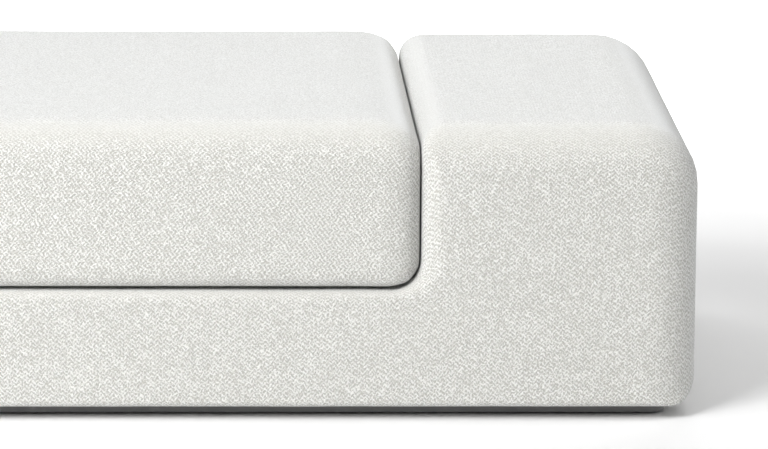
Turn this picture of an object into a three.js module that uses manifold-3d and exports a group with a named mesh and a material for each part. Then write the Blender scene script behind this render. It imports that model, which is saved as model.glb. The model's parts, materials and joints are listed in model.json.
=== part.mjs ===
// Backless divan: a low upholstered cradle with a raised block at each end and a loose seat
// cushion that drops in between them. Millimetres, +Z up, the front faces -Y, and the origin
// is on the floor under the middle of the divan.
import * as THREE from "three";
import { mergeVertices } from "three/addons/utils/BufferGeometryUtils.js";
import Module from "manifold-3d";

const wasm = await Module();
wasm.setup();

// Overall sizes, over the fabric
const overallLength = 1664;
const overallDepth = 900;
const blockTopHeight = 416;
const deckHeight = 183.5;
const seatWellWidth = 887;

// Clearances
const touchGap = 0.3;
const cushionSideGap = 2;
const cutOverrun = 20;

// Rounded edges of the cradle, over the fabric
const blockOuterRadius = 90;
const blockWellRadius = 38;
const cradleBottomRadius = 36;
const wellCornerRadius = 40;
const outerEdgeRadius = 67;
const wellWallEdgeRadius = 45;
const deckEdgeRadius = 15;
const bottomEdgeRadius = 12;
const sharpestRadius = 2;
const cornerSteps = 5;
const edgeRoundSteps = 5;

// Fabric and foam of the cradle
const coverThickness = 3;
const sideFoamThickness = 35;
const wellWallFoamThickness = 20;
const blockTopFoamThickness = 52;
const deckFoamThickness = 26;
const feltThickness = 2;
const hemOpeningInset = 65;

// Feet: glides, plinth, and the black sheet that closes the underside
const glideThickness = 3;
const glideRadius = 16;
const glideEdgeDrop = 1;
const glideSides = 20;
const plinthThickness = 14.5;
const plinthInset = 42;
const plinthBoardWidth = 70;
const plinthCornerRadius = 25;
const plinthCornerSteps = 6;
const cornerGlideFromEnd = 90;
const dustCoverThickness = 0.8;
const dustCoverInset = 48;

// Plywood frame
const plyThickness = 18;
const slotRoundSteps = 5;
const frontSlotHeight = 44;
const frontSlotGap = 73;
const frontSlotCount = 4;
const blockSlotHeight = 110;
const blockSlotFromPanel = 40;
const sideSlotHeight = 120;
const sideSlotFromPanel = 89;
const sideSlotGap = 150;
const tenonHeight = 32;
const tenonFromEnd = 24;
const crossRailSize = 45;
const crossRailFromWell = 263;
const cornerBlockLeg = 90;
const cornerBlockHeight = 45;

// Bolts that hold the plinth to the frame
const boltRadius = 4;
const boltHeadRadius = 9;
const boltHeadBevel = 1.8;
const boltHeadThickness = 4;
const boltLength = 52;
const boltSides = 12;
const boltSeatDepth = 6;
const boltFromEnd = 80;
const boltFromFront = 100;

// Zigzag springs and the folded steel rails that hook them
const springCount = 6;
const springFromPanel = 111;
const springWireRadius = 1.9;
const springWireSides = 4;
const springWidth = 72;
const springLoops = 16;
const springStepsPerLoop = 4;
const springEndRun = 16;
const steelThickness = 2;
const springRailHeight = 32;
const springRailShelf = 22;
const springRailBelowTop = 17;
const hookWidth = 24;
const hookFromPanel = 14;

// Hook-and-loop strips that keep the cushion in place
const gripThickness = 1.5;
const gripWidth = 50;
const gripFromWell = 163;
const gripFromFront = 190;

// Seat cushion, over the fabric
const cushionTopHeight = 422;
const cushionFrontInset = 4;
const cushionTopCrown = 3;
const cushionFaceCrown = 3;
const cushionDrawIn = 1.5;
const cushionTopRadius = 54;
const cushionBottomRadius = 40;
const cushionTopEdgeRadius = 52;
const cushionSideEdgeRadius = 45;
const cushionBottomEdgeRadius = 18;
const cushionCoverThickness = 2.5;
const fibreWrapThickness = 14;
const fibreWrapEndInset = 70;
const cushionCornerSteps = 4;
const cushionEdgeSteps = 4;
const cushionSpanSteps = 4;
const faceRingShare = 0.5;

// Zip on the back of the cushion
const zipFromSide = 131;
const zipTapeHeight = 14;
const zipTapeThickness = 2.5;
const zipAboveCushionBottom = 46;
const zipChainHeight = 4;
const zipChainProud = 1.2;
const zipSliderLength = 16;
const zipSliderHeight = 9;
const zipSliderThickness = 3.4;
const zipSliderTaper = 2;

// Heights that follow from the stack
const plinthBottom = glideThickness;
const plinthTop = plinthBottom + plinthThickness;
const dustCoverBottom = plinthTop + touchGap;
const coverBottom = dustCoverBottom + dustCoverThickness + touchGap;
const frameBottom = coverBottom + coverThickness + touchGap;
const deckFoamTop = deckHeight - coverThickness - touchGap;
const deckFoamBottom = deckFoamTop - deckFoamThickness;
const feltTop = deckFoamBottom - touchGap;
const feltBottom = feltTop - feltThickness;
const deckFrameTop = feltBottom - touchGap;
const blockFrameTop = blockTopHeight - coverThickness - touchGap - blockTopFoamThickness;
const blockPanelTop = blockFrameTop - plyThickness - touchGap;
const gripHookBottom = deckHeight + touchGap;
const gripLoopBottom = gripHookBottom + gripThickness + touchGap;
const cushionBottom = gripLoopBottom + gripThickness + touchGap;

// Places that follow from the sizes
const frameInset = coverThickness + sideFoamThickness;
const frameHalfLength = overallLength / 2 - frameInset;
const frameHalfDepth = overallDepth / 2 - frameInset;
const panelInnerFace = frameHalfDepth - plyThickness;
const wellHalfWidth = seatWellWidth / 2;
const innerPanelFace = wellHalfWidth + coverThickness + wellWallFoamThickness;
const innerPanelBack = innerPanelFace + plyThickness;
const endPanelInner = frameHalfLength - plyThickness;
const blockInside = endPanelInner - innerPanelBack;
const blockSlotLength = blockInside - 2 * blockSlotFromPanel;
const foamJoint = wellHalfWidth - wellCornerRadius;
const crossRailX = wellHalfWidth - crossRailFromWell;
const cushionHalfWidth = wellHalfWidth - cushionSideGap;
const cushionHalfDepth = overallDepth / 2 - cushionFrontInset;
const plinthHalfLength = overallLength / 2 - plinthInset;
const plinthHalfDepth = overallDepth / 2 - plinthInset;
const gripHalfLength = wellHalfWidth - gripFromWell;
const gripY = overallDepth / 2 - gripFromFront;
const zipHalfLength = cushionHalfWidth - zipFromSide;
const zipHeight = cushionBottom + zipAboveCushionBottom;
const springRailTop = deckFrameTop - springRailBelowTop;
const springRailBottom = springRailTop - springRailHeight;

const boucle = new THREE.MeshStandardMaterial({ color: 0xdedcd5, roughness: 0.95, metalness: 0 });
const foam = new THREE.MeshStandardMaterial({ color: 0xe9e2c4, roughness: 0.95, metalness: 0 });
const fibre = new THREE.MeshStandardMaterial({ color: 0xf2f2ef, roughness: 1, metalness: 0 });
const felt = new THREE.MeshStandardMaterial({ color: 0x8d8a84, roughness: 1, metalness: 0 });
const dustCloth = new THREE.MeshStandardMaterial({ color: 0x1d1d1f, roughness: 0.95, metalness: 0 });
const plywood = new THREE.MeshStandardMaterial({ color: 0xcfae7c, roughness: 0.7, metalness: 0 });
const blackLacquer = new THREE.MeshStandardMaterial({ color: 0x3a3a3b, roughness: 0.6, metalness: 0 });
const glideNylon = new THREE.MeshStandardMaterial({ color: 0x2b2b2c, roughness: 0.55, metalness: 0 });
const zincSteel = new THREE.MeshStandardMaterial({ color: 0x9ea2a6, roughness: 0.4, metalness: 0.9 });
const gripTape = new THREE.MeshStandardMaterial({ color: 0xcfccc4, roughness: 0.95, metalness: 0 });
const zipTape = new THREE.MeshStandardMaterial({ color: 0xd3d0c8, roughness: 0.8, metalness: 0 });

const unitX = new THREE.Vector3(1, 0, 0);
const unitY = new THREE.Vector3(0, 1, 0);
const unitZ = new THREE.Vector3(0, 0, 1);
const outlineOnXZ = new THREE.Matrix4().makeBasis(unitX, unitZ, unitY.clone().negate());
const outlineOnYZ = new THREE.Matrix4().makeBasis(unitY, unitZ, unitX);

// A geometry as a solid that can be cut and joined.
function toSolid(geometry) {
  const bare = new THREE.BufferGeometry();
  bare.setAttribute("position", geometry.getAttribute("position"));
  bare.setIndex(geometry.index);
  const merged = mergeVertices(bare);
  return new wasm.Manifold(
    new wasm.Mesh({
      numProp: 3,
      vertProperties: new Float32Array(merged.getAttribute("position").array),
      triVerts: new Uint32Array(merged.index.array),
    }),
  );
}

// A solid as a geometry with flat shading.
function toGeometry(solid) {
  const mesh = solid.getMesh();
  const geometry = new THREE.BufferGeometry();
  const places = new Float32Array(mesh.numVert * 3);
  for (let i = 0; i < mesh.numVert; i++) {
    const start = i * mesh.numProp;
    places.set(mesh.vertProperties.subarray(start, start + 3), i * 3);
  }
  geometry.setAttribute("position", new THREE.BufferAttribute(places, 3));
  geometry.setIndex(new THREE.BufferAttribute(mesh.triVerts, 1));
  const flat = geometry.toNonIndexed();
  flat.computeVertexNormals();
  return flat;
}

const divan = new THREE.Group();

function addPiece(name, shape, material) {
  const geometry = shape.isBufferGeometry ? shape : toGeometry(shape);
  const mesh = new THREE.Mesh(geometry, material);
  mesh.name = name;
  divan.add(mesh);
  return mesh;
}

// A box between two corners.
function box(low, high) {
  const size = high.map((value, axis) => value - low[axis]);
  const geometry = new THREE.BoxGeometry(...size);
  geometry.translate(...low.map((value, axis) => value + size[axis] / 2));
  return toSolid(geometry);
}

// A flat outline in X and Y, raised between two heights.
function plate(outline, low, high, steps = slotRoundSteps) {
  const options = { depth: high - low, bevelEnabled: false, curveSegments: steps };
  const geometry = new THREE.ExtrudeGeometry(outline, options);
  geometry.translate(0, 0, low);
  return toSolid(geometry);
}

// An outline in X and Z, as a board between two depths.
function boardOnXZ(outline, front, back) {
  const options = { depth: back - front, bevelEnabled: false, curveSegments: slotRoundSteps };
  const geometry = new THREE.ExtrudeGeometry(outline, options);
  geometry.applyMatrix4(outlineOnXZ);
  geometry.translate(0, back, 0);
  return toSolid(geometry);
}

// An outline in Y and Z, as a board between two places along the length.
function boardOnYZ(outline, left, right) {
  const options = { depth: right - left, bevelEnabled: false, curveSegments: slotRoundSteps };
  const geometry = new THREE.ExtrudeGeometry(outline, options);
  geometry.applyMatrix4(outlineOnYZ);
  geometry.translate(left, 0, 0);
  return toSolid(geometry);
}

function polygon(points) {
  return new THREE.Shape(points.map(([u, v]) => new THREE.Vector2(u, v)));
}

// A cut-out with a half circle at both ends of its longer way.
function slotPath(centreU, centreV, length, height) {
  const radius = Math.min(length, height) / 2;
  const reachU = length / 2 - radius;
  const reachV = height / 2 - radius;
  const turn = length < height ? Math.PI / 2 : 0;
  const near = turn - Math.PI / 2;
  const far = turn + Math.PI / 2;
  const path = new THREE.Path();
  path.absarc(centreU + reachU, centreV + reachV, radius, near, far, false);
  path.absarc(centreU - reachU, centreV - reachV, radius, far, near + Math.PI * 2, false);
  path.closePath();
  return path;
}

function rectanglePath(left, low, right, high) {
  return new THREE.Path([
    new THREE.Vector2(left, low),
    new THREE.Vector2(right, low),
    new THREE.Vector2(right, high),
    new THREE.Vector2(left, high),
  ]);
}

// A solid through rings of points. Each ring has as many points, and both ends are closed.
function solidThroughRings(rings) {
  const count = rings[0].length;
  const places = rings.flat().flatMap((point) => point.toArray());
  const faces = [];
  for (let ring = 0; ring + 1 < rings.length; ring++) {
    for (let i = 0; i < count; i++) {
      const here = ring * count + i;
      const next = ring * count + ((i + 1) % count);
      faces.push(here, next + count, next);
      faces.push(here, here + count, next + count);
    }
  }
  const lastStart = (rings.length - 1) * count;
  const flat = (ring) => ring.map((point) => new THREE.Vector2(point.x, point.z));
  for (const [a, b, c] of THREE.ShapeUtils.triangulateShape(flat(rings[0]), [])) {
    faces.push(a, b, c);
  }
  for (const [a, b, c] of THREE.ShapeUtils.triangulateShape(flat(rings.at(-1)), [])) {
    faces.push(lastStart + a, lastStart + c, lastStart + b);
  }
  const geometry = new THREE.BufferGeometry();
  geometry.setAttribute("position", new THREE.Float32BufferAttribute(places, 3));
  geometry.setIndex(faces);
  return toSolid(geometry);
}

// One ring of a body whose front outline has square-set edges. Every edge is { level, across,
// inward, edgeRadius }: a level on Z where it runs across, or else a place on X. The ring lies
// where the rounded front or back edge has turned through an angle, from 0 on the flat face to a
// quarter turn on the sides. Corners are { radius, hollow } and stand before the edge of their
// own number. The whole ring is shrunk by the given depth below the surface.
function edgeRing(body, turn, shrink, atFront) {
  const { edges, corners, halfDepth, steps, spanSteps } = body;
  const insets = edges.map((edge) => {
    const round = Math.max(edge.edgeRadius - shrink, sharpestRadius);
    return shrink + round * (1 - Math.sin(turn));
  });
  const depths = edges.map((edge) => {
    const round = Math.max(edge.edgeRadius - shrink, sharpestRadius);
    return halfDepth - shrink - round * (1 - Math.cos(turn));
  });
  const at = (edge, index) => edge.level + edge.inward * insets[index];
  const knots = corners.map((corner, index) => {
    const before = (index + edges.length - 1) % edges.length;
    const across = edges[index].across ? index : before;
    const upright = edges[index].across ? before : index;
    const mean = (insets[index] + insets[before]) / 2;
    const radius = corner.hollow
      ? corner.radius + mean
      : Math.max(corner.radius - mean, sharpestRadius);
    return {
      point: new THREE.Vector2(at(edges[upright], upright), at(edges[across], across)),
      radius,
      before,
    };
  });
  const ring = [];
  knots.forEach((knot, index) => {
    const previous = knots.at(index - 1).point;
    const following = knots[(index + 1) % knots.length].point;
    const arrive = knot.point.clone().sub(previous).normalize();
    const leave = following.clone().sub(knot.point).normalize();
    const centre = knot.point
      .clone()
      .addScaledVector(arrive, -knot.radius)
      .addScaledVector(leave, knot.radius);
    for (let i = 0; i <= steps; i++) {
      const share = i / steps;
      const angle = (share * Math.PI) / 2;
      const place = centre
        .clone()
        .addScaledVector(leave, -knot.radius * Math.cos(angle))
        .addScaledVector(arrive, knot.radius * Math.sin(angle));
      const eased = share * share * (3 - 2 * share);
      const depth = THREE.MathUtils.lerp(depths[knot.before], depths[index], eased);
      ring.push(new THREE.Vector3(place.x, atFront ? -depth : depth, place.y));
    }
    const last = ring.at(-1);
    const startOfNext = following.clone().addScaledVector(leave, -knots[(index + 1) % knots.length].radius);
    for (let i = 1; i < spanSteps; i++) {
      const share = i / spanSteps;
      ring.push(
        new THREE.Vector3(
          THREE.MathUtils.lerp(last.x, startOfNext.x, share),
          last.y,
          THREE.MathUtils.lerp(last.z, startOfNext.y, share),
        ),
      );
    }
  });
  return ring;
}

// The rings of such a body from its front face to its back face.
function bodyRings(body, shrink) {
  const rings = [];
  for (let i = 0; i <= body.roundSteps; i++) {
    rings.push(edgeRing(body, (i / body.roundSteps) * (Math.PI / 2), shrink, true));
  }
  const frontSide = rings.at(-1);
  const backSide = edgeRing(body, Math.PI / 2, shrink, false);
  for (let i = 1; i < body.depthSteps; i++) {
    rings.push(frontSide.map((point, at) => point.clone().lerp(backSide[at], i / body.depthSteps)));
  }
  for (let i = body.roundSteps; i >= 0; i--) {
    rings.push(edgeRing(body, (i / body.roundSteps) * (Math.PI / 2), shrink, false));
  }
  return rings;
}

// The cradle's outline, seen from the front and taken anticlockwise from the underside.
const wellWall = { across: false, edgeRadius: wellWallEdgeRadius };
const blockTop = { across: true, level: blockTopHeight, inward: -1, edgeRadius: outerEdgeRadius };
const cradleBody = {
  halfDepth: overallDepth / 2,
  steps: cornerSteps,
  roundSteps: edgeRoundSteps,
  spanSteps: 1,
  depthSteps: 1,
  edges: [
    { across: true, level: coverBottom, inward: 1, edgeRadius: bottomEdgeRadius },
    { across: false, level: overallLength / 2, inward: -1, edgeRadius: outerEdgeRadius },
    blockTop,
    { ...wellWall, level: wellHalfWidth, inward: 1 },
    { across: true, level: deckHeight, inward: -1, edgeRadius: deckEdgeRadius },
    { ...wellWall, level: -wellHalfWidth, inward: -1 },
    blockTop,
    { across: false, level: -overallLength / 2, inward: 1, edgeRadius: outerEdgeRadius },
  ],
  corners: [
    { radius: cradleBottomRadius },
    { radius: cradleBottomRadius },
    { radius: blockOuterRadius },
    { radius: blockWellRadius },
    { radius: wellCornerRadius, hollow: true },
    { radius: wellCornerRadius, hollow: true },
    { radius: blockWellRadius },
    { radius: blockOuterRadius },
  ],
};

function cradleSolid(shrink) {
  return solidThroughRings(bodyRings(cradleBody, shrink));
}

// The fabric that covers the whole cradle and turns under its bottom edge as a hem.
function buildBaseCover() {
  const openingHalfLength = overallLength / 2 - hemOpeningInset;
  const openingHalfDepth = overallDepth / 2 - hemOpeningInset;
  const opening = box(
    [-openingHalfLength, -openingHalfDepth, coverBottom - cutOverrun],
    [openingHalfLength, openingHalfDepth, coverBottom + cutOverrun],
  );
  const cover = cradleSolid(0).subtract(cradleSolid(coverThickness)).subtract(opening);
  addPiece("base_cover", cover, boucle);
}

// Everything rigid inside the foam, with the gap that the foam keeps to it.
function frameEnvelope() {
  const reachX = frameHalfLength + touchGap;
  const reachY = frameHalfDepth + touchGap;
  const low = coverBottom - cutOverrun;
  const wellX = innerPanelFace - touchGap;
  const seat = box([-reachX, -reachY, low], [reachX, reachY, deckFoamBottom]);
  const right = box([wellX, -reachY, low], [reachX, reachY, blockFrameTop + touchGap]);
  const left = box([-reachX, -reachY, low], [-wellX, reachY, blockFrameTop + touchGap]);
  return seat.add(right).add(left);
}

// Sheet foam: one cap over each block, a slab on the deck, and a sheet at the front and back.
function buildCradleFoam() {
  const all = cradleSolid(coverThickness + touchGap).subtract(frameEnvelope());
  const farX = overallLength;
  const farY = overallDepth;
  const joint = foamJoint - touchGap / 2;
  const deckZone = box([-joint, -farY, deckFoamBottom], [joint, farY, blockTopHeight]);
  const skirtTop = deckFoamBottom - touchGap;
  const skirtZone = (front, back) => box([-joint, front, 0], [joint, back, skirtTop]);
  const blockStart = foamJoint + touchGap / 2;
  const blockZone = (left, right) => box([left, -farY, 0], [right, farY, farX]);
  addPiece("left_block_foam", all.intersect(blockZone(-farX, -blockStart)), foam);
  addPiece("right_block_foam", all.intersect(blockZone(blockStart, farX)), foam);
  addPiece("deck_foam", all.intersect(deckZone), foam);
  addPiece("front_foam", all.intersect(skirtZone(-farY, 0)), foam);
  addPiece("back_foam", all.intersect(skirtZone(0, farY)), foam);
}

function buildDeckFelt() {
  const reachX = innerPanelFace - touchGap;
  const reachY = frameHalfDepth;
  const low = [-reachX, -reachY, feltBottom];
  addPiece("deck_felt", box(low, [reachX, reachY, feltTop]), felt);
}

// The front and back panels run the full length and rise into both blocks.
function longPanelOutline() {
  const outline = polygon([
    [-frameHalfLength, frameBottom],
    [frameHalfLength, frameBottom],
    [frameHalfLength, blockPanelTop],
    [innerPanelFace, blockPanelTop],
    [innerPanelFace, deckFrameTop],
    [-innerPanelFace, deckFrameTop],
    [-innerPanelFace, blockPanelTop],
    [-frameHalfLength, blockPanelTop],
  ]);
  const seatMiddle = (frameBottom + springRailBottom) / 2;
  const pitch = (2 * innerPanelFace) / frontSlotCount;
  for (let i = 0; i < frontSlotCount; i++) {
    const centre = -innerPanelFace + pitch * (i + 1 / 2);
    outline.holes.push(slotPath(centre, seatMiddle, pitch - frontSlotGap, frontSlotHeight));
  }
  const blockMiddle = (frameBottom + blockPanelTop) / 2;
  const blockCentre = innerPanelBack + blockInside / 2;
  for (const side of [-1, 1]) {
    outline.holes.push(slotPath(side * blockCentre, blockMiddle, blockSlotLength, blockSlotHeight));
  }
  return outline;
}

// The mortises through the long panels, for the inner panels' tenons.
function mortises() {
  const reach = overallDepth;
  const right = tenonHeights().map(([low, high]) =>
    box(
      [innerPanelFace - touchGap, -reach, low - touchGap],
      [innerPanelBack + touchGap, reach, high + touchGap],
    ),
  );
  return wasm.Manifold.union([...right, ...right.map((hole) => hole.mirror([1, 0, 0]))]);
}

// Where the inner panels' tenons go through the long panels, below the deck.
function tenonHeights() {
  const low = frameBottom + tenonFromEnd;
  const high = deckFrameTop - tenonFromEnd - tenonHeight;
  return [
    [low, low + tenonHeight],
    [high, high + tenonHeight],
  ];
}

// A panel that crosses the frame, with two cut-outs that save weight.
function crossPanelOutline(reach, tenonReach) {
  const right = [[reach, frameBottom]];
  const left = [];
  for (const [low, high] of tenonReach ? tenonHeights() : []) {
    right.push([reach, low], [tenonReach, low], [tenonReach, high], [reach, high]);
    left.unshift([-reach, high], [-tenonReach, high], [-tenonReach, low], [-reach, low]);
  }
  right.push([reach, blockPanelTop], [-reach, blockPanelTop]);
  const outline = polygon([[-reach, frameBottom], ...right, ...left]);
  const middle = (frameBottom + blockPanelTop) / 2;
  const slotEnd = reach - sideSlotFromPanel;
  const slotStart = sideSlotGap / 2;
  const slotLength = slotEnd - slotStart;
  for (const side of [-1, 1]) {
    const centre = (side * (slotStart + slotEnd)) / 2;
    outline.holes.push(slotPath(centre, middle, slotLength, sideSlotHeight));
  }
  return outline;
}

// Puts one copy of a board on the right and its mirror image on the left.
function addBothSides(name, solid, material) {
  addPiece(`right_${name}`, solid, material);
  addPiece(`left_${name}`, solid.mirror([1, 0, 0]), material);
}

function buildFrame() {
  const reach = panelInnerFace - touchGap;
  const frontPanel = boardOnXZ(longPanelOutline(), -frameHalfDepth, -panelInnerFace);
  addPiece("front_panel", frontPanel.subtract(mortises()), plywood);
  addPiece("back_panel", frontPanel.mirror([0, 1, 0]).subtract(mortises()), plywood);
  const innerOutline = crossPanelOutline(reach, frameHalfDepth);
  const endOutline = crossPanelOutline(reach, 0);
  addBothSides("inner_panel", boardOnYZ(innerOutline, innerPanelFace, innerPanelBack), plywood);
  addBothSides("end_panel", boardOnYZ(endOutline, endPanelInner, frameHalfLength), plywood);
  const top = box(
    [innerPanelFace, -frameHalfDepth, blockPanelTop + touchGap],
    [frameHalfLength, frameHalfDepth, blockFrameTop],
  );
  addBothSides("block_top_board", top, plywood);
  const ribLeft = innerPanelBack + touchGap;
  const ribRight = endPanelInner - touchGap;
  const rib = polygon([
    [ribLeft, frameBottom],
    [ribRight, frameBottom],
    [ribRight, blockPanelTop],
    [ribLeft, blockPanelTop],
  ]);
  const middle = (frameBottom + blockPanelTop) / 2;
  rib.holes.push(slotPath((ribLeft + ribRight) / 2, middle, blockSlotLength, blockSlotHeight));
  addBothSides("block_rib", boardOnXZ(rib, -plyThickness / 2, plyThickness / 2), plywood);
}

// Bolt places: one in each corner block, and one in the middle of each cross rail.
const cornerBoltX = overallLength / 2 - boltFromEnd;
const cornerBoltY = overallDepth / 2 - boltFromFront;
const boltPlaces = [
  ["front_left", -cornerBoltX, -cornerBoltY],
  ["front_right", cornerBoltX, -cornerBoltY],
  ["back_left", -cornerBoltX, cornerBoltY],
  ["back_right", cornerBoltX, cornerBoltY],
  ["middle_left", -crossRailX, 0],
  ["middle_right", crossRailX, 0],
];
const boltHeadBottom = plinthBottom + boltSeatDepth - boltHeadThickness - touchGap;
const boltTip = boltHeadBottom + boltHeadThickness + boltLength;

// The holes that the bolts need: a clearance hole all the way, and a seat for each head.
function boltHoles() {
  const holes = boltPlaces.map(([, x, y]) => {
    const shank = boltCylinder(boltRadius + touchGap, plinthBottom - cutOverrun, boltTip + touchGap);
    const seatTop = plinthBottom + boltSeatDepth;
    const seat = boltCylinder(boltHeadRadius + touchGap, plinthBottom - cutOverrun, seatTop);
    return shank.add(seat).translate([x, y, 0]);
  });
  return wasm.Manifold.union(holes);
}

function boltCylinder(radius, low, high) {
  const geometry = new THREE.CylinderGeometry(radius, radius, high - low, boltSides);
  geometry.rotateX(Math.PI / 2);
  geometry.translate(0, 0, (low + high) / 2);
  return toSolid(geometry);
}

function buildBolts() {
  const headTop = boltHeadBottom + boltHeadThickness;
  const profile = [
    [0, boltHeadBottom],
    [boltHeadRadius - boltHeadBevel, boltHeadBottom],
    [boltHeadRadius, boltHeadBottom + boltHeadThickness / 2],
    [boltHeadRadius, headTop],
    [boltRadius, headTop],
    [boltRadius, boltTip - boltRadius / 2],
    [boltRadius / 2, boltTip],
    [0, boltTip],
  ].map(([radius, height]) => new THREE.Vector2(radius, height));
  for (const [place, x, y] of boltPlaces) {
    const geometry = new THREE.LatheGeometry(profile, boltSides);
    geometry.rotateX(Math.PI / 2);
    geometry.translate(x, y, 0);
    addPiece(`plinth_bolt_${place}`, toSolid(geometry), zincSteel);
  }
}

// Square rails across the bottom, and a three-cornered glue block in each corner.
function buildRailsAndBlocks(holes) {
  const reach = panelInnerFace - touchGap;
  const half = crossRailSize / 2;
  const rail = box(
    [crossRailX - half, -reach, frameBottom],
    [crossRailX + half, reach, frameBottom + crossRailSize],
  );
  addPiece("right_cross_rail", rail.subtract(holes), plywood);
  addPiece("left_cross_rail", rail.mirror([1, 0, 0]).subtract(holes), plywood);
  const cornerX = endPanelInner - touchGap;
  const blockTop = frameBottom + cornerBlockHeight;
  for (const [endName, sideX] of [["left", -1], ["right", 1]]) {
    for (const [faceName, sideY] of [["front", -1], ["back", 1]]) {
      const triangle = polygon([
        [sideX * cornerX, sideY * reach],
        [sideX * (cornerX - cornerBlockLeg), sideY * reach],
        [sideX * cornerX, sideY * (reach - cornerBlockLeg)],
      ]);
      const block = plate(triangle, frameBottom, blockTop);
      addPiece(`corner_block_${faceName}_${endName}`, block.subtract(holes), plywood);
    }
  }
}

function roundedRectangle(halfX, halfY, radius) {
  const shape = new THREE.Shape();
  shape.absarc(halfX - radius, halfY - radius, radius, 0, Math.PI / 2, false);
  shape.absarc(radius - halfX, halfY - radius, radius, Math.PI / 2, Math.PI, false);
  shape.absarc(radius - halfX, radius - halfY, radius, Math.PI, Math.PI * 1.5, false);
  shape.absarc(halfX - radius, radius - halfY, radius, Math.PI * 1.5, Math.PI * 2, false);
  return shape;
}

// A mitred ring of boards with two boards across it.
function buildPlinth(holes) {
  const innerX = plinthHalfLength - plinthBoardWidth;
  const innerY = plinthHalfDepth - plinthBoardWidth;
  const outline = roundedRectangle(plinthHalfLength, plinthHalfDepth, plinthCornerRadius);
  outline.holes.push(rectanglePath(-innerX, -innerY, innerX, innerY));
  const ring = plate(outline, plinthBottom, plinthTop, plinthCornerSteps).subtract(holes);
  const outerX = plinthHalfLength + cutOverrun;
  const outerY = plinthHalfDepth + cutOverrun;
  const shift = touchGap * Math.SQRT1_2;
  const cutInnerX = innerX - cutOverrun;
  const cutInnerY = innerY - cutOverrun;
  const longZone = (side) =>
    plate(
      polygon([
        [-outerX + shift, side * outerY],
        [outerX - shift, side * outerY],
        [cutInnerX - shift, side * cutInnerY],
        [-cutInnerX + shift, side * cutInnerY],
      ]),
      0,
      plinthTop + cutOverrun,
    );
  const sideZone = (side) =>
    plate(
      polygon([
        [side * outerX, -outerY + shift],
        [side * outerX, outerY - shift],
        [side * cutInnerX, cutInnerY - shift],
        [side * cutInnerX, -cutInnerY + shift],
      ]),
      0,
      plinthTop + cutOverrun,
    );
  addPiece("plinth_front_rail", ring.intersect(longZone(-1)), blackLacquer);
  addPiece("plinth_back_rail", ring.intersect(longZone(1)), blackLacquer);
  addPiece("plinth_left_rail", ring.intersect(sideZone(-1)), blackLacquer);
  addPiece("plinth_right_rail", ring.intersect(sideZone(1)), blackLacquer);
  for (const [name, side] of [["left", -1], ["right", 1]]) {
    const middle = side * crossRailX;
    const board = box(
      [middle - plinthBoardWidth / 2, -innerY + touchGap, plinthBottom],
      [middle + plinthBoardWidth / 2, innerY - touchGap, plinthTop],
    );
    addPiece(`plinth_cross_rail_${name}`, board.subtract(holes), blackLacquer);
  }
}

// Nylon discs under the plinth: one near each corner and one in the middle of each long side.
function buildGlides() {
  const glideY = plinthHalfDepth - plinthBoardWidth / 2;
  const glideX = plinthHalfLength - cornerGlideFromEnd;
  const top = glideThickness - touchGap;
  const profile = [
    [0, 0],
    [glideRadius - glideEdgeDrop, 0],
    [glideRadius, glideEdgeDrop],
    [glideRadius, top],
    [0, top],
  ].map(([radius, height]) => new THREE.Vector2(radius, height));
  for (const [place, x] of [["left", -glideX], ["middle", 0], ["right", glideX]]) {
    for (const [face, y] of [["front", -glideY], ["back", glideY]]) {
      const geometry = new THREE.LatheGeometry(profile, glideSides);
      geometry.rotateX(Math.PI / 2);
      geometry.translate(x, y, 0);
      addPiece(`glide_${face}_${place}`, toSolid(geometry), glideNylon);
    }
  }
}

function buildDustCover(holes) {
  const halfX = overallLength / 2 - dustCoverInset;
  const halfY = overallDepth / 2 - dustCoverInset;
  const outline = roundedRectangle(halfX, halfY, plinthCornerRadius);
  const sheet = plate(outline, dustCoverBottom, dustCoverBottom + dustCoverThickness);
  addPiece("dust_cover", sheet.subtract(holes), dustCloth);
}

// The folded rail's section at a long panel, and the hook that keeps a spring's end bar down.
const springBarY = panelInnerFace - hookFromPanel;
const springBarZ = springRailTop + touchGap + springWireRadius;
const springRise = feltBottom - touchGap - springWireRadius - springBarZ;

function springRail(side) {
  const wall = panelInnerFace - touchGap;
  const angle = polygon([
    [side * wall, springRailBottom],
    [side * wall, springRailTop],
    [side * (wall - springRailShelf), springRailTop],
    [side * (wall - springRailShelf), springRailTop - steelThickness],
    [side * (wall - steelThickness), springRailTop - steelThickness],
    [side * (wall - steelThickness), springRailBottom],
  ]);
  const wireReach = springWireRadius + touchGap;
  const stem = springBarY + wireReach;
  const lipEnd = springBarY - wireReach;
  const lip = springBarZ + wireReach;
  const hook = polygon([
    [side * stem, springRailTop - steelThickness / 2],
    [side * (stem + steelThickness), springRailTop - steelThickness / 2],
    [side * (stem + steelThickness), lip + steelThickness],
    [side * lipEnd, lip + steelThickness],
    [side * lipEnd, lip],
    [side * stem, lip],
  ]);
  const railReach = innerPanelFace - touchGap;
  const hooks = springPlaces().map((x) => boardOnYZ(hook, x - hookWidth / 2, x + hookWidth / 2));
  return wasm.Manifold.union([boardOnYZ(angle, -railReach, railReach), ...hooks]);
}

function springPlaces() {
  const reach = innerPanelFace - springFromPanel;
  const spacing = (2 * reach) / (springCount - 1);
  return Array.from({ length: springCount }, (_, i) => spacing * i - reach);
}

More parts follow.
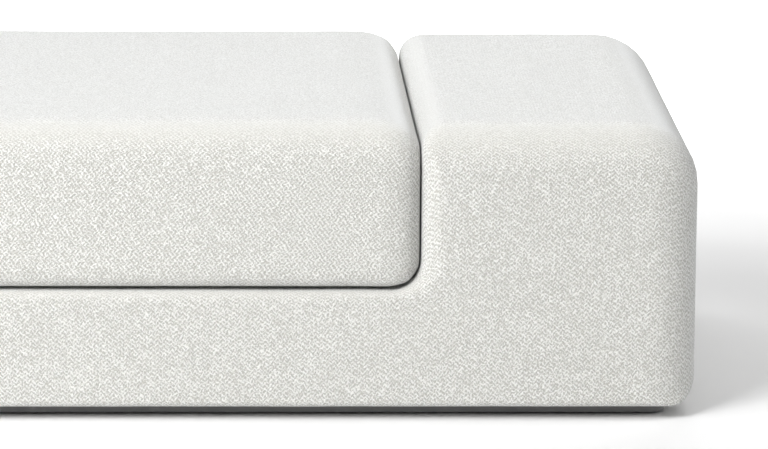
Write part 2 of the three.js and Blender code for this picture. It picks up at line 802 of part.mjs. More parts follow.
// A zigzag wire: straight bars joined by half circles, bowed up between its two end bars.
function springWire(x) {
  const pitch = (2 * springBarY) / springLoops;
  const bar = springWidth / 2 - pitch / 2;
  const bow = (y) => springBarZ + springRise * (1 - (y / springBarY) ** 2);
  const points = [
    new THREE.Vector3(x - bar - springEndRun, -springBarY, springBarZ),
    new THREE.Vector3(x + hookWidth, -springBarY, springBarZ),
  ];
  for (let loop = 0; loop < springLoops; loop++) {
    const side = loop % 2 ? -1 : 1;
    const start = -springBarY + pitch * loop;
    for (let i = 0; i <= springStepsPerLoop; i++) {
      const angle = (i / springStepsPerLoop) * Math.PI;
      const y = start + (pitch / 2) * (1 - Math.cos(angle));
      points.push(new THREE.Vector3(x + side * (bar + (pitch / 2) * Math.sin(angle)), y, bow(y)));
    }
  }
  const lastSide = springLoops % 2 ? 1 : -1;
  points.push(
    new THREE.Vector3(x + lastSide * hookWidth, springBarY, springBarZ),
    new THREE.Vector3(x - lastSide * (bar + springEndRun), springBarY, springBarZ),
  );
  const section = new THREE.Shape();
  for (let i = 0; i < springWireSides; i++) {
    const angle = ((i + 1 / 2) / springWireSides) * Math.PI * 2;
    const corner = [springWireRadius * Math.cos(angle), springWireRadius * Math.sin(angle)];
    if (i) section.lineTo(...corner);
    else section.moveTo(...corner);
  }
  const options = {
    steps: springLoops * springStepsPerLoop,
    extrudePath: new THREE.CatmullRomCurve3(points, false, "centripetal"),
    bevelEnabled: false,
  };
  return toSolid(new THREE.ExtrudeGeometry(section, options));
}

function buildSprings() {
  addPiece("front_spring_rail", springRail(-1), zincSteel);
  addPiece("back_spring_rail", springRail(1), zincSteel);
  springPlaces().forEach((x, i) => addPiece(`zigzag_spring_${i + 1}`, springWire(x), zincSteel));
}

// Hook strips sewn on the deck, and loop strips sewn under the cushion above them.
function buildGrips() {
  for (const [place, y] of [["front", -gripY], ["back", gripY]]) {
    const strip = (low) =>
      box(
        [-gripHalfLength, y - gripWidth / 2, low],
        [gripHalfLength, y + gripWidth / 2, low + gripThickness],
      );
    addPiece(`hook_strip_${place}`, strip(gripHookBottom), gripTape);
    addPiece(`loop_strip_${place}`, strip(gripLoopBottom), gripTape);
  }
}

// The cushion's outline before it is crowned, seen from the front.
const cushionFlatTop = cushionTopHeight - cushionTopCrown;
const cushionSide = { across: false, edgeRadius: cushionSideEdgeRadius };
const cushionBody = {
  halfDepth: cushionHalfDepth,
  steps: cushionCornerSteps,
  roundSteps: cushionEdgeSteps,
  spanSteps: cushionSpanSteps,
  depthSteps: cushionSpanSteps,
  edges: [
    { across: true, level: cushionBottom, inward: 1, edgeRadius: cushionBottomEdgeRadius },
    { ...cushionSide, level: cushionHalfWidth, inward: -1 },
    { across: true, level: cushionFlatTop, inward: -1, edgeRadius: cushionTopEdgeRadius },
    { ...cushionSide, level: -cushionHalfWidth, inward: 1 },
  ],
  corners: [
    { radius: cushionBottomRadius },
    { radius: cushionBottomRadius },
    { radius: cushionTopRadius },
    { radius: cushionTopRadius },
  ],
};

// Swells the top and the front face, and draws the sides in between their corners. The zip keeps
// the back face straight.
function crownCushion(point) {
  const middle = (cushionBottom + cushionFlatTop) / 2;
  const halfHeight = (cushionFlatTop - cushionBottom) / 2;
  const u = point.x / cushionHalfWidth;
  const v = point.y / cushionHalfDepth;
  const w = (point.z - middle) / halfHeight;
  const over = (value) => Math.max(0, 1 - value * value);
  const rise = cushionTopCrown * over(u) * over(v) * Math.max(0, w);
  const bulge = cushionFaceCrown * over(u) * over(w) * Math.min(0, v ** 3);
  const waist = cushionDrawIn * over(v) * over(w) * u ** 3;
  return new THREE.Vector3(point.x - waist, point.y + bulge, point.z + rise);
}

function cushionSolid(shrink) {
  const rings = bodyRings(cushionBody, shrink);
  const front = rings[0];
  const back = rings.at(-1);
  const faceRing = (ring) => {
    const centre = new THREE.Vector3(0, ring[0].y, (cushionBottom + cushionFlatTop) / 2);
    return ring.map((point) => point.clone().lerp(centre, faceRingShare));
  };
  const all = [faceRing(front), ...rings, faceRing(back)];
  return solidThroughRings(all.map((ring) => ring.map(crownCushion)));
}

function buildCushion() {
  const wrapDepth = cushionCoverThickness + touchGap;
  const coreDepth = wrapDepth + fibreWrapThickness;
  const slotHalf = zipTapeHeight / 2 + touchGap;
  const slotReach = zipHalfLength + touchGap;
  const slot = box(
    [-slotReach, 0, zipHeight - slotHalf],
    [slotReach, overallDepth, zipHeight + slotHalf],
  );
  const inside = cushionSolid(cushionCoverThickness);
  addPiece("cushion_cover", cushionSolid(0).subtract(inside).subtract(slot), boucle);
  const wrapEnd = cushionHalfWidth - fibreWrapEndInset;
  const sleeve = box(
    [-wrapEnd, -overallDepth, 0],
    [wrapEnd, overallDepth, overallLength],
  );
  const coreSpace = cushionSolid(coreDepth);
  const wrap = cushionSolid(wrapDepth).subtract(coreSpace).intersect(sleeve);
  addPiece("cushion_fibre_wrap", wrap, fibre);
  addPiece("cushion_foam_core", cushionSolid(coreDepth + touchGap), foam);
}

// The zip's tape fills the slot in the cover, and its slider straddles the chain of teeth.
function buildZip() {
  const tapeFace = cushionHalfDepth - touchGap;
  const tapeBack = tapeFace - zipTapeThickness + touchGap;
  const tape = box(
    [-zipHalfLength, tapeBack, zipHeight - zipTapeHeight / 2],
    [zipHalfLength, tapeFace, zipHeight + zipTapeHeight / 2],
  );
  const chain = box(
    [-zipHalfLength, tapeBack, zipHeight - zipChainHeight / 2],
    [zipHalfLength, tapeFace + zipChainProud, zipHeight + zipChainHeight / 2],
  );
  addPiece("cushion_zip_tape", tape.add(chain), zipTape);
  const sliderEnd = zipHalfLength - zipSliderLength;
  const sliderStart = sliderEnd - zipSliderLength;
  const sliderFace = tapeFace + touchGap;
  const half = zipSliderHeight / 2;
  const outline = polygon([
    [sliderStart, zipHeight - half + zipSliderTaper],
    [sliderStart + zipSliderTaper, zipHeight - half],
    [sliderEnd, zipHeight - half],
    [sliderEnd, zipHeight + half],
    [sliderStart + zipSliderTaper, zipHeight + half],
    [sliderStart, zipHeight + half - zipSliderTaper],
  ]);
  const chainHalf = zipChainHeight / 2 + touchGap;
  const channel = box(
    [sliderStart - cutOverrun, 0, zipHeight - chainHalf],
    [sliderEnd + cutOverrun, tapeFace + zipChainProud + touchGap, zipHeight + chainHalf],
  );
  const slider = boardOnXZ(outline, sliderFace, sliderFace + zipSliderThickness).subtract(channel);
  addPiece("cushion_zip_slider", slider, zincSteel);
}

const holes = boltHoles();
buildGlides();
buildPlinth(holes);
buildBolts();
buildDustCover(holes);
buildFrame();
buildRailsAndBlocks(holes);
buildSprings();
buildDeckFelt();
buildCradleFoam();
buildBaseCover();
buildGrips();
buildCushion();
buildZip();

export default divan;
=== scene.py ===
"""Backless divan, dressed for its picture: looped cloth over foam on a plywood frame.

The packed frame gives the places and sizes of the pieces. Everything is in metres, +Z up, and the
front of the divan faces -Y.
"""

import json
import math

import bmesh
import bpy
from bpy.props import FloatProperty, FloatVectorProperty, IntProperty, PointerProperty
from mathutils import Euler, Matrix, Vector, noise
from mathutils.bvhtree import BVHTree
from mathutils.geometry import delaunay_2d_cdt


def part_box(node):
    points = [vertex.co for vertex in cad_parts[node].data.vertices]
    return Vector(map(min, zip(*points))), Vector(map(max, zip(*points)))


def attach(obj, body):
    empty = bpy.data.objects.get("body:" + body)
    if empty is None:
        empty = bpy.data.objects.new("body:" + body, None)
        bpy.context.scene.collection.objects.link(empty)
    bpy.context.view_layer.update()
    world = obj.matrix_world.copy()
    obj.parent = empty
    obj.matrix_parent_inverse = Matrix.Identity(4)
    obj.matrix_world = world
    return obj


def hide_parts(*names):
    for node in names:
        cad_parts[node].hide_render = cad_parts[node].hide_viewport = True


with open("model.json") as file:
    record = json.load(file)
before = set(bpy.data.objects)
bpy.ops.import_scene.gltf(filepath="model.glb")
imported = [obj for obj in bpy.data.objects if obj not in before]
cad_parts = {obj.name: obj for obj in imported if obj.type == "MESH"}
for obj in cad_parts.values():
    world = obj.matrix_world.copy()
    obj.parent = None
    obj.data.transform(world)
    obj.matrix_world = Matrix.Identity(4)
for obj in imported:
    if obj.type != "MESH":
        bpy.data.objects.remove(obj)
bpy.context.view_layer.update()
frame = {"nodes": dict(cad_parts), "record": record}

bl_info = {
    "name": "Backless divan",
    "version": (1, 0, 0),
    "blender": (4, 5, 0),
    "location": "3D View > Sidebar > Divan",
    "description": "Dresses the frame of a backless divan in looped cloth and sets it on a pale floor",
    "category": "Object",
}

TOUCH_GAP = 0.0003
# Points of a mesh that lie nearer than this are one, and corners of a flat outline nearer than that.
SAME_PLACE = 1e-6
SAME_POINT = 1e-7
QUARTER = math.pi / 2
TURN = 2 * math.pi
CRADLE = "cradle"
CUSHION = "seat_cushion"
SLIDER = "zip_slider"


# Places that the frame gives

COVER_LOW, COVER_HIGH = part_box("base_cover")
CUSHION_LOW, CUSHION_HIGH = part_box("cushion_cover")
TAPE_LOW, TAPE_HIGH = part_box("cushion_zip_tape")
DECK_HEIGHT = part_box("hook_strip_front")[0].z - TOUCH_GAP
CUSHION_SIDE_GAP = 0.0017
WELL_HALF = CUSHION_HIGH.x + CUSHION_SIDE_GAP
PLINTH_REACH = -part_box("plinth_front_rail")[1].y
SPRINGS = [f"zigzag_spring_{number}" for number in range(1, 7)]
BOLTS = [node for node in frame["nodes"] if node.startswith("plinth_bolt")]


# Settings. Each kind of setting has its name, its description, its default and mostly a least value.

def length(name, description, default, least=0.0):
    return FloatProperty(name=name, description=description, unit="LENGTH", default=default, min=least)


def amount(name, description, default, least=0.0):
    return FloatProperty(name=name, description=description, default=default, min=least)


def share(name, description, default):
    return FloatProperty(name=name, description=description, default=default, min=0, max=1)


def power(name, description, default):
    return FloatProperty(name=name, description=description, unit="POWER", default=default, min=0)


def angle(name, description, degrees):
    return FloatProperty(name=name, description=description, subtype="ANGLE", default=math.radians(degrees))


def whole(name, description, default):
    return IntProperty(name=name, description=description, default=default, min=2)


def colour(name, description, default):
    return FloatVectorProperty(
        name=name, description=description, subtype="COLOR", default=default, min=0, max=1)


class DivanClothSettings(bpy.types.PropertyGroup):
    """The looped cloth of the cover and the cushion."""

    yarn: colour("Yarn", "Colour of the raised loops", (0.985, 0.980, 0.948))
    # Painted shade: the colour between the loops is darker than the yarn, standing in for the shade in the
    # hollows between them.
    shaded_ground: colour("Ground", "Colour between the loops", (0.555, 0.543, 0.500))
    wide_repeat: length("Wide repeat", "Length of the weave's repeat along its wide way", 0.0088, 0.001)
    narrow_repeat: length("Narrow repeat", "Length of the weave's repeat along its narrow way", 0.0064, 0.001)
    wander: length("Wander", "How far the loops stray from their rows", 0.0011)
    wander_size: length("Wander size", "Distance over which the loops' straying changes", 0.011, 0.001)
    nub_size: length("Nub size", "Size of the nubs that break up the rows", 0.0027, 0.0005)
    nub_height: amount("Nub height", "Height of the nubs, as a share of the loops' height", 0.58)
    fibre_size: length("Fibre size", "Size of the finest tufts", 0.0016, 0.0003)
    fibre_height: amount("Fibre height", "Height of the tufts, as a share of the loops' height", 0.75)
    softness: amount("Softness", "How softly a loop's side falls to the ground", 0.8, 0.1)
    # Painted highlight, not wear: along the upward-facing rounded edges this evens out the loops' colour and
    # relief, the way strong top light washes out the weave there.
    painted_highlight: share("Flattening", "How much the loops lie flat along the top edges, where legs rub", 0.6)
    loop_height: length("Loop height", "How high the loops stand", 0.0010)
    fuzz: share("Fuzz", "How much the loose fibres light up at a low angle", 0.7)


class DivanCoverSettings(bpy.types.PropertyGroup):
    """The fixed cover of the cradle."""

    outer_radius: length("Outer corner", "Radius of a block's outer top corner, seen from the front", 0.090)
    well_radius: length("Inner corner", "Radius of a block's top corner at the well", 0.038)
    bottom_radius: length("Bottom corner", "Radius of the lower corners, seen from the front", 0.036)
    fold_radius: length("Well corner", "Radius of the hollow corner between deck and block", 0.040)
    outer_edge: length("Top and end edges", "Rounding of the front edges along a block's top and end", 0.067)
    well_edge: length("Well wall edges", "Rounding of the front edges beside the cushion", 0.034)
    deck_edge: length("Deck edge", "Rounding of the deck's front edge", 0.015)
    bottom_edge: length("Bottom edge", "Rounding of the lower front edge", 0.009)
    thickness: length("Thickness", "Thickness of the cloth with its loops", 0.003, 0.0005)
    hem_width: length("Hem", "How far the cloth turns in under the frame", 0.065)
    block_crown: length("Block crown", "How much a block's top swells in its middle", 0.0016)
    lumps: length("Lumps", "Height of the soft lumps that padding leaves in the cloth", 0.0005)
    mesh_step: length("Mesh step", "Size of one face of the cover's mesh", 0.014, 0.004)


class DivanCushionSettings(bpy.types.PropertyGroup):
    """The loose seat cushion."""

    top_radius: length("Top corner", "Radius of the upper corners, seen from the front", 0.054)
    bottom_radius: length("Bottom corner", "Radius of the lower corners, seen from the front", 0.040)
    top_edge: length("Top edge", "Rounding of the upper front edge", 0.052)
    side_edge: length("Side edges", "Rounding of the upright front edges", 0.045)
    bottom_edge: length("Bottom edge", "Rounding of the lower front edge", 0.012)
    start_shrink: length("Start size", "How much smaller the cushion is before it swells", 0.002)
    pressure: amount("Pressure", "How hard the filling presses on the cloth", 4.0)
    most_swell: length("Most swell", "The furthest that a point of the cloth may move out", 0.004)
    press_down: length(
        "Press on the deck", "How far the cushion would swell past the deck that it lies on", 0.006)
    press_out: length("Press on the walls", "How far the cushion would swell past the well's walls", 0.003)
    swell_steps: whole("Steps", "Steps of the swelling", 20)
    voxel: length("Cloth step", "Size of one face of the cloth while it swells", 0.0145, 0.004)
    cover_thickness: length("Thickness", "Thickness of the cushion's cloth", 0.0025, 0.0005)
    wrap_thickness: length("Wadding", "Thickness of the wadding round the foam core", 0.014, 0.001)
    filling_ease: length("Filling ease", "How far the wadding's soft lumps keep from the cover", 0.002)


class DivanFrameSettings(bpy.types.PropertyGroup):
    """Timber, padding and metal."""

    veneer: colour("Veneer", "Colour of the plywood's faces", (0.62, 0.44, 0.25))
    lacquer: colour("Plinth lacquer", "Colour of the plinth", (0.195, 0.195, 0.196))
    foam: colour("Foam", "Colour of the foam", (0.80, 0.72, 0.46))
    zinc: colour("Zinc", "Colour of the zinc-plated steel", (0.56, 0.57, 0.58))
    foam_step: length("Foam step", "Size of one face of the foam's mesh", 0.022, 0.005)
    wire_radius: length("Spring wire", "Radius of the spring wire", 0.0019, 0.0005)
    spring_width: length("Spring width", "Width of a zigzag spring", 0.072, 0.01)
    spring_loops: whole("Spring loops", "Number of half turns in a zigzag spring", 16)
    spring_end_run: length("Spring end", "How far a spring's end bar runs on", 0.016)
    felt_thickness: length("Felt", "Thickness of the felt over the springs", 0.002, 0.0005)
    dust_cover_sag: length("Dust cover sag", "How far the dust cover hangs between the boards", 0.004)
    dust_cover_corner: length("Dust cover corner", "Radius of the dust cover's corners", 0.025)


class DivanTrimSettings(bpy.types.PropertyGroup):
    """Zip, hook and loop strips and stitches."""

    tooth_pitch: length("Tooth pitch", "Distance from one tooth of the zip to the next", 0.0022, 0.0005)
    stitch_pitch: length("Stitch pitch", "Distance from one stitch to the next", 0.0042, 0.001)
    stitch_length: length("Stitch length", "Length of one stitch", 0.0030, 0.001)
    thread_width: length("Thread", "Width of the sewing thread", 0.0007, 0.0001)
    seam_inset: length("Seam inset", "Distance from a tape's edge to its seam", 0.0022)
    coil_width: length("Coil width", "Width of the zip's coil", 0.0040, 0.001)
    pull_length: length("Pull length", "Length of the slider's pull", 0.021, 0.005)
    pull_width: length("Pull width", "Width of the slider's pull", 0.0056, 0.001)
    thread: colour("Thread colour", "Colour of the sewing thread", (0.80, 0.79, 0.75))


class DivanStageSettings(bpy.types.PropertyGroup):
    """Camera, light and floor."""

    camera_place: FloatVectorProperty(
        name="Camera", description="Place of the camera", subtype="XYZ", unit="LENGTH",
        default=(0.0884, -8.4299, 1.7970))
    camera_down: angle("Tilt", "How far the camera looks down", 10.7588)
    camera_right: angle("Turn", "How far the camera looks to the right", 2.1630)
    camera_roll: angle("Roll", "How far the camera leans, so that long edges lie level", 0.447)
    focal_length: amount("Focal length", "Focal length of the camera, in millimetres", 274.0, 1)
    key_power: power("Key light", "Power of the lamp at the front left", 200.0)
    left_power: power("Left light", "Power of the lamp high on the left", 83.0)
    back_power: power("Back light", "Power of the lamp above the back", 75.0)
    right_power: power("Right light", "Power of the lamp on the right", 20.0)
    top_power: power("Top light", "Power of the lamp above the right end", 34.0)
    side_power: power("Side light", "Power of the wide lamp at the far left", 60.0)
    room_strength: amount("Room light", "Strength of the even light of the room", 0.03)


# Meshes

def new_object(name, mesh):
    """A new object of the scene, at the origin."""
    piece = bpy.data.objects.new(name, mesh)
    bpy.context.scene.collection.objects.link(piece)
    return piece


def mesh_object(name, points, faces, edges=()):
    mesh = bpy.data.meshes.new(name)
    mesh.from_pydata([tuple(point) for point in points], edges, faces)
    mesh.update()
    return new_object(name, mesh)


def box_mesh(name, low, high):
    points = [(x, y, z) for x in (low[0], high[0]) for y in (low[1], high[1]) for z in (low[2], high[2])]
    faces = [(0, 1, 3, 2), (4, 6, 7, 5), (0, 4, 5, 1), (2, 3, 7, 6), (0, 2, 6, 4), (1, 5, 7, 3)]
    return mesh_object(name, points, faces)


def bands(rings, count):
    """Faces that join each ring of points to the next ring."""
    band = [(i, (i + 1) % count, (i + 1) % count + count, i + count) for i in range(count)]
    return [tuple(ring * count + corner for corner in face) for ring in range(rings - 1) for face in band]


def end_faces(rings, count):
    """Faces over the first and the last ring of points."""
    last = (rings - 1) * count
    return [tuple(reversed(range(count))), tuple(range(last, last + count))]


def put_back(work, piece):
    """Ends the work on a piece's mesh."""
    work.to_mesh(piece.data)
    work.free()
    piece.data.update()


def smooth(piece, sharpest=None):
    """Smooth shading. Where an angle in degrees is given, edges sharper than it stay hard."""
    piece.data.shade_smooth()
    if sharpest is not None:
        piece.data.set_sharp_from_angle(angle=math.radians(sharpest))


def face_out(piece):
    """Merges the mesh's doubles and points its faces outwards."""
    work = bmesh.new()
    work.from_mesh(piece.data)
    bmesh.ops.remove_doubles(work, verts=work.verts, dist=SAME_PLACE)
    bmesh.ops.recalc_face_normals(work, faces=work.faces)
    put_back(work, piece)


def face_along(piece, axis):
    """Points the faces of a flat sheet along the axis."""
    face_out(piece)
    if piece.data.polygons[0].normal[axis] < 0:
        piece.data.flip_normals()


def apply_modifiers(piece):
    """Turns the object with its modifiers into a plain mesh."""
    graph = bpy.context.evaluated_depsgraph_get()
    graph.update()
    finished = bpy.data.meshes.new_from_object(piece.evaluated_get(graph), depsgraph=graph)
    old = piece.data
    piece.modifiers.clear()
    piece.data = finished
    bpy.data.meshes.remove(old)
    finished.name = piece.name


def modify(piece, kind, **values):
    """Applies one modifier."""
    modifier = piece.modifiers.new(kind.title(), kind)
    for name, value in values.items():
        setattr(modifier, name, value)
    apply_modifiers(piece)


def cut(piece, cutter, operation="DIFFERENCE"):
    """Cuts the piece with another closed mesh, which is then removed."""
    modify(piece, "BOOLEAN", object=cutter, operation=operation, solver="EXACT")
    bpy.data.objects.remove(cutter)


def thicken(piece, thickness):
    """Gives a surface its thickness, inwards."""
    modify(piece, "SOLIDIFY", thickness=thickness, offset=-1.0)


def soften_edges(piece, width=0.0003, segments=2):
    modify(piece, "BEVEL", width=width, segments=segments, limit_method="ANGLE")


def open_window(piece, is_near, sides):
    """Cuts a window out of the part of the mesh that is_near picks, between two sides on two axes."""
    work = bmesh.new()
    work.from_mesh(piece.data)
    for axis, limits in sides.items():
        for limit in limits:
            place, normal = Vector((0, 0, 0)), Vector((0, 0, 0))
            place[axis], normal[axis] = limit, 1
            near = [face for face in work.faces if is_near(face.calc_center_median())]
            near += [edge for edge in work.edges if all(is_near(vertex.co) for vertex in edge.verts)]
            bmesh.ops.bisect_plane(work, geom=near, dist=SAME_PLACE, plane_co=place, plane_no=normal)
    inside = []
    for face in work.faces:
        middle = face.calc_center_median()
        if is_near(middle) and all(low < middle[axis] < high for axis, (low, high) in sides.items()):
            inside.append(face)
    bmesh.ops.delete(work, geom=inside, context="FACES")
    put_back(work, piece)


def fill_outline(outline, inner):
    """Triangles between a closed outline and points inside it, as Delaunay's rule joins them."""
    loop = [(i, (i + 1) % len(outline)) for i in range(len(outline))]
    return delaunay_2d_cdt(outline + inner, loop, [], 1, SAME_POINT)


class RoundedBody:
    """A body whose front outline has square-set edges, with every edge and corner rounded.

    An edge is (across, level, inward, rounding): a height where it runs across, or else a place
    on X. A corner is (radius, hollow) and stands before the edge of its own number.
    """

    sharpest = 0.002
    corner_steps = 8
    rounding_steps = 8
    clear_share = 0.6

    def __init__(self, edges, corners, half_depth, step):
        self.edges = edges
        self.corners = corners
        self.half_depth = half_depth
        self.step = step
        knots = self.knots(QUARTER, 0)
        self.spans = []
        for index, (point, radius) in enumerate(knots):
            following, next_radius = knots[(index + 1) % len(knots)]
            straight = (following - point).length - radius - next_radius
            self.spans.append(max(1, round(straight / step)))

    def rounding(self, edge, shrink):
        return max(self.edges[edge][3] - shrink, self.sharpest)

    def inset(self, edge, turn, shrink):
        return shrink + self.rounding(edge, shrink) * (1 - math.sin(turn))

    def depth(self, edge, turn, shrink):
        return self.half_depth - shrink - self.rounding(edge, shrink) * (1 - math.cos(turn))

    def knots(self, turn, shrink):
        """The outline's corner points, each with its radius, at one turn of the rounded edge."""
        found = []
        for index, (radius, hollow) in enumerate(self.corners):
            before = (index - 1) % len(self.edges)
            flat, upright = (index, before) if self.edges[index][0] else (before, index)
            x, z = (
                self.edges[side][1] + self.edges[side][2] * self.inset(side, turn, shrink)
                for side in (upright, flat)
            )
            mean = (self.inset(index, turn, shrink) + self.inset(before, turn, shrink)) / 2
            bend = radius + mean if hollow else max(radius - mean, self.sharpest)
            found.append((Vector((x, z)), bend))
        return found

    def ring(self, turn, shrink, side):
        """Points round the body. side is -1 on the front half and 1 on the back half."""
        knots = self.knots(turn, shrink)
        points = []
        for index, (point, radius) in enumerate(knots):
            following, next_radius = knots[(index + 1) % len(knots)]
            arrive = (point - knots[index - 1][0]).normalized()
            leave = (following - point).normalized()
            centre = point - arrive * radius + leave * radius
            old_depth, new_depth = (self.depth(edge, turn, shrink) for edge in (index - 1, index))
            for i in range(self.corner_steps + 1):
                part = i / self.corner_steps
                bend = part * QUARTER
                place = centre - leave * radius * math.cos(bend) + arrive * radius * math.sin(bend)
                eased = part * part * (3 - 2 * part)
                depth = old_depth + (new_depth - old_depth) * eased
                points.append(Vector((place.x, side * depth, place.y)))
            start = points[-1]
            end = following - leave * next_radius
            for i in range(1, self.spans[index]):
                part = i / self.spans[index]
                x, z = start.x + (end.x - start.x) * part, start.z + (end.y - start.z) * part
                points.append(Vector((x, start.y, z)))
        return points

    def rings(self, shrink):
        """All rings, from the front face to the back face."""
        turns = [QUARTER * i / self.rounding_steps for i in range(self.rounding_steps + 1)]
        found = [self.ring(turn, shrink, -1) for turn in turns]
        front, back = found[-1], self.ring(QUARTER, shrink, 1)
        count = max(1, round(2 * self.half_depth / self.step))
        for i in range(1, count):
            found.append([a.lerp(b, i / count) for a, b in zip(front, back)])
        return found + [self.ring(turn, shrink, 1) for turn in reversed(turns)]

    def face_fill(self, ring):
        """Points inside a flat end ring, and the triangles that join them to it."""
        outline = [Vector((point.x, point.z)) for point in ring]
        low, high = (Vector((end(p.x for p in outline), end(p.y for p in outline))) for end in (min, max))
        step = self.step
        inner = []
        for i in range(1, int((high.x - low.x) / step)):
            for j in range(1, int((high.y - low.y) / step)):
                place = Vector((low.x + i * step, low.y + j * step))
                nearest = min((place - other).length_squared for other in outline)
                if nearest > (self.clear_share * step) ** 2 and self.is_inside(place, outline):
                    inner.append(place)
        _, _, faces, origins, _, _ = fill_outline(outline, inner)
        return inner, [[origins[corner][0] for corner in face] for face in faces]

    @staticmethod
    def is_inside(place, outline):
        inside = False
        for a, b in zip(outline, outline[1:] + outline[:1]):
            if (a.y > place.y) != (b.y > place.y):
                if place.x < a.x + (b.x - a.x) * (place.y - a.y) / (b.y - a.y):
                    inside = not inside
        return inside

    def build(self, name, shrink=0.0):
        """The closed body as an object."""
        rings = self.rings(shrink)
        count = len(rings[0])
        points = [point for ring in rings for point in ring]
        faces = bands(len(rings), count)
        for ring, first in ((rings[0], 0), (rings[-1], (len(rings) - 1) * count)):
            inner, triangles = self.face_fill(ring)
            start = len(points)
            points += [Vector((place.x, ring[0].y, place.y)) for place in inner]
            number = [first + i for i in range(count)] + [start + i for i in range(len(inner))]
            faces += [tuple(number[corner] for corner in face) for face in triangles]
        piece = mesh_object(name, points, faces)
        face_out(piece)
        return piece


def cradle_body(cover, step):
    """The upholstered cradle's form: a deck with a block at each end."""
    half = COVER_HIGH.x
    top = (True, COVER_HIGH.z, -1, cover.outer_edge)
    edges = [
        (True, COVER_LOW.z, 1, cover.bottom_edge),
        (False, half, -1, cover.outer_edge),
        top,
        (False, WELL_HALF, 1, cover.well_edge),
        (True, DECK_HEIGHT, -1, cover.deck_edge),
        (False, -WELL_HALF, -1, cover.well_edge),
        top,
        (False, -half, 1, cover.outer_edge),
    ]
    bottom, outer = (cover.bottom_radius, False), (cover.outer_radius, False)
    well, fold = (cover.well_radius, False), (cover.fold_radius, True)
    return RoundedBody(edges, [bottom, bottom, outer, well, fold, fold, well, outer], COVER_HIGH.y, step)


def cushion_body(cushion):
    """The cushion's form before its filling swells it."""
    half = CUSHION_HIGH.x
    edges = [
        (True, CUSHION_LOW.z, 1, cushion.bottom_edge),
        (False, half, -1, cushion.side_edge),
        (True, CUSHION_HIGH.z, -1, cushion.top_edge),
        (False, -half, 1, cushion.side_edge),
    ]
    corners = [(cushion.bottom_radius, False)] * 2 + [(cushion.top_radius, False)] * 2
    return RoundedBody(edges, corners, CUSHION_HIGH.y, cushion.voxel)


def push_lumps(piece, height, size):
    """Soft lumps, as padding leaves them, on the whole surface."""
    normals = [vertex.normal.copy() for vertex in piece.data.vertices]
    for vertex, normal in zip(piece.data.vertices, normals):
        vertex.co += normal * height * noise.noise(vertex.co / size)
    piece.data.update()


# Materials

class Nodes:
    """The nodes of one tree, written as short calls."""

    def __init__(self, tree):
        self.tree, self.nodes, self.links = tree, tree.nodes, tree.links

    def put(self, value, socket):
        """Links a socket, or sets a plain value. None leaves the input as it is."""
        if isinstance(value, bpy.types.NodeSocket):
            self.links.new(value, socket)
        elif value is not None:
            is_plain_colour = socket.type == "RGBA" and len(value) == 3
            socket.default_value = (*value, 1) if is_plain_colour else value

    def node(self, kind, *values, named=None, **settings):
        """The outputs of a new node, whose inputs are the values in their order, or by name."""
        made = self.nodes.new(kind)
        for name, value in settings.items():
            setattr(made, name, value)
        for key, value in [*enumerate(values), *(named or {}).items()]:
            self.put(value, made.inputs[key])
        return made.outputs

    def math(self, operation, *values):
        return self.node("ShaderNodeMath", *values, operation=operation)[0]

    def vector(self, operation, *values):
        return self.node("ShaderNodeVectorMath", *values, operation=operation)[0]

    def seen(self):
        """1 for a ray that the camera sees, straight, in gloss or through glass."""
        rays = self.node("ShaderNodeLightPath")
        straight, gloss, glass = (rays[f"Is {kind} Ray"] for kind in ("Camera", "Glossy", "Transmission"))
        return self.math("MAXIMUM", straight, self.math("MAXIMUM", gloss, glass))


class Surface(Nodes):
    """A material whose patterns lie on Object coordinates."""

    def __init__(self, name):
        self.material = bpy.data.materials.new(name)
        self.material.use_nodes = True
        super().__init__(self.material.node_tree)
        place = self.node("ShaderNodeTexCoord")
        self.at, self.facing = place["Object"], place["Normal"]

    def noise(self, size, detail=2.0, stretch=None, output="Fac"):
        """Noise whose spots are about the given size, drawn out by stretch."""
        place = self.vector("DIVIDE", self.at, stretch) if stretch else self.at
        return self.node("ShaderNodeTexNoise", place, None, 1 / size, detail)[output]

    def parts(self, vector):
        return self.node("ShaderNodeSeparateXYZ", vector)

    def range(self, value, low, high, new_low=0.0, new_high=1.0, eased=False):
        course = "SMOOTHSTEP" if eased else "LINEAR"
        ends = (low, high, new_low, new_high)
        return self.node("ShaderNodeMapRange", value, *ends, interpolation_type=course)[0]

    def wave(self, value, repeat):
        return self.math("SINE", self.math("MULTIPLY", value, TURN / repeat))

    def choose(self, part, first, second):
        """One number or the other, or a blend of both."""
        return self.node("ShaderNodeMix", part, None, first, second)[0]

    def colours(self, part, first, second, blend="MIX"):
        blank = (None,) * 5
        return self.node("ShaderNodeMix", part, *blank, first, second, data_type="RGBA", blend_type=blend)[2]

    def bump(self, height, distance, strength=1.0):
        return self.node("ShaderNodeBump", strength, distance, named={"Height": height})[0]

    def finish(self, colour, roughness, normal, **inputs):
        """Joins the results to the shader. The other inputs are plain numbers on its own sockets."""
        sockets = self.nodes["Principled BSDF"].inputs
        inputs = {"base_color": colour, "roughness": roughness, "normal": normal, **inputs}
        for name, value in inputs.items():
            self.put(value, sockets[name.replace("_", " ").title().replace("Ior", "IOR")])
        return self.material

    def two_tone(self, height, ends, tones, roughness, distance, strength, **inputs):
        """A finish whose shade and relief both follow one height."""
        shade = self.colours(self.range(height, *ends), *tones)
        return self.finish(shade, roughness, self.bump(height, distance, strength), **inputs)


def tinted(colour, *shares):
    """The colour with its parts multiplied, all by one share or each by its own."""
    return tuple(min(1.0, factor * part) for factor, part in zip(shares * 3, colour))


# Waves of the weave: repeats along its wide way, repeats along its narrow way, and height.
WEAVE_WAVES = ((1, 1, 1.0), (-2, 1, 0.8), (-1, 1, 0.7), (2, 1, 0.6), (2, 0, 0.3))
# Each wave starts this share of a turn after the one before, so that their crests don't all meet.
WAVE_START_SHARE = 0.27
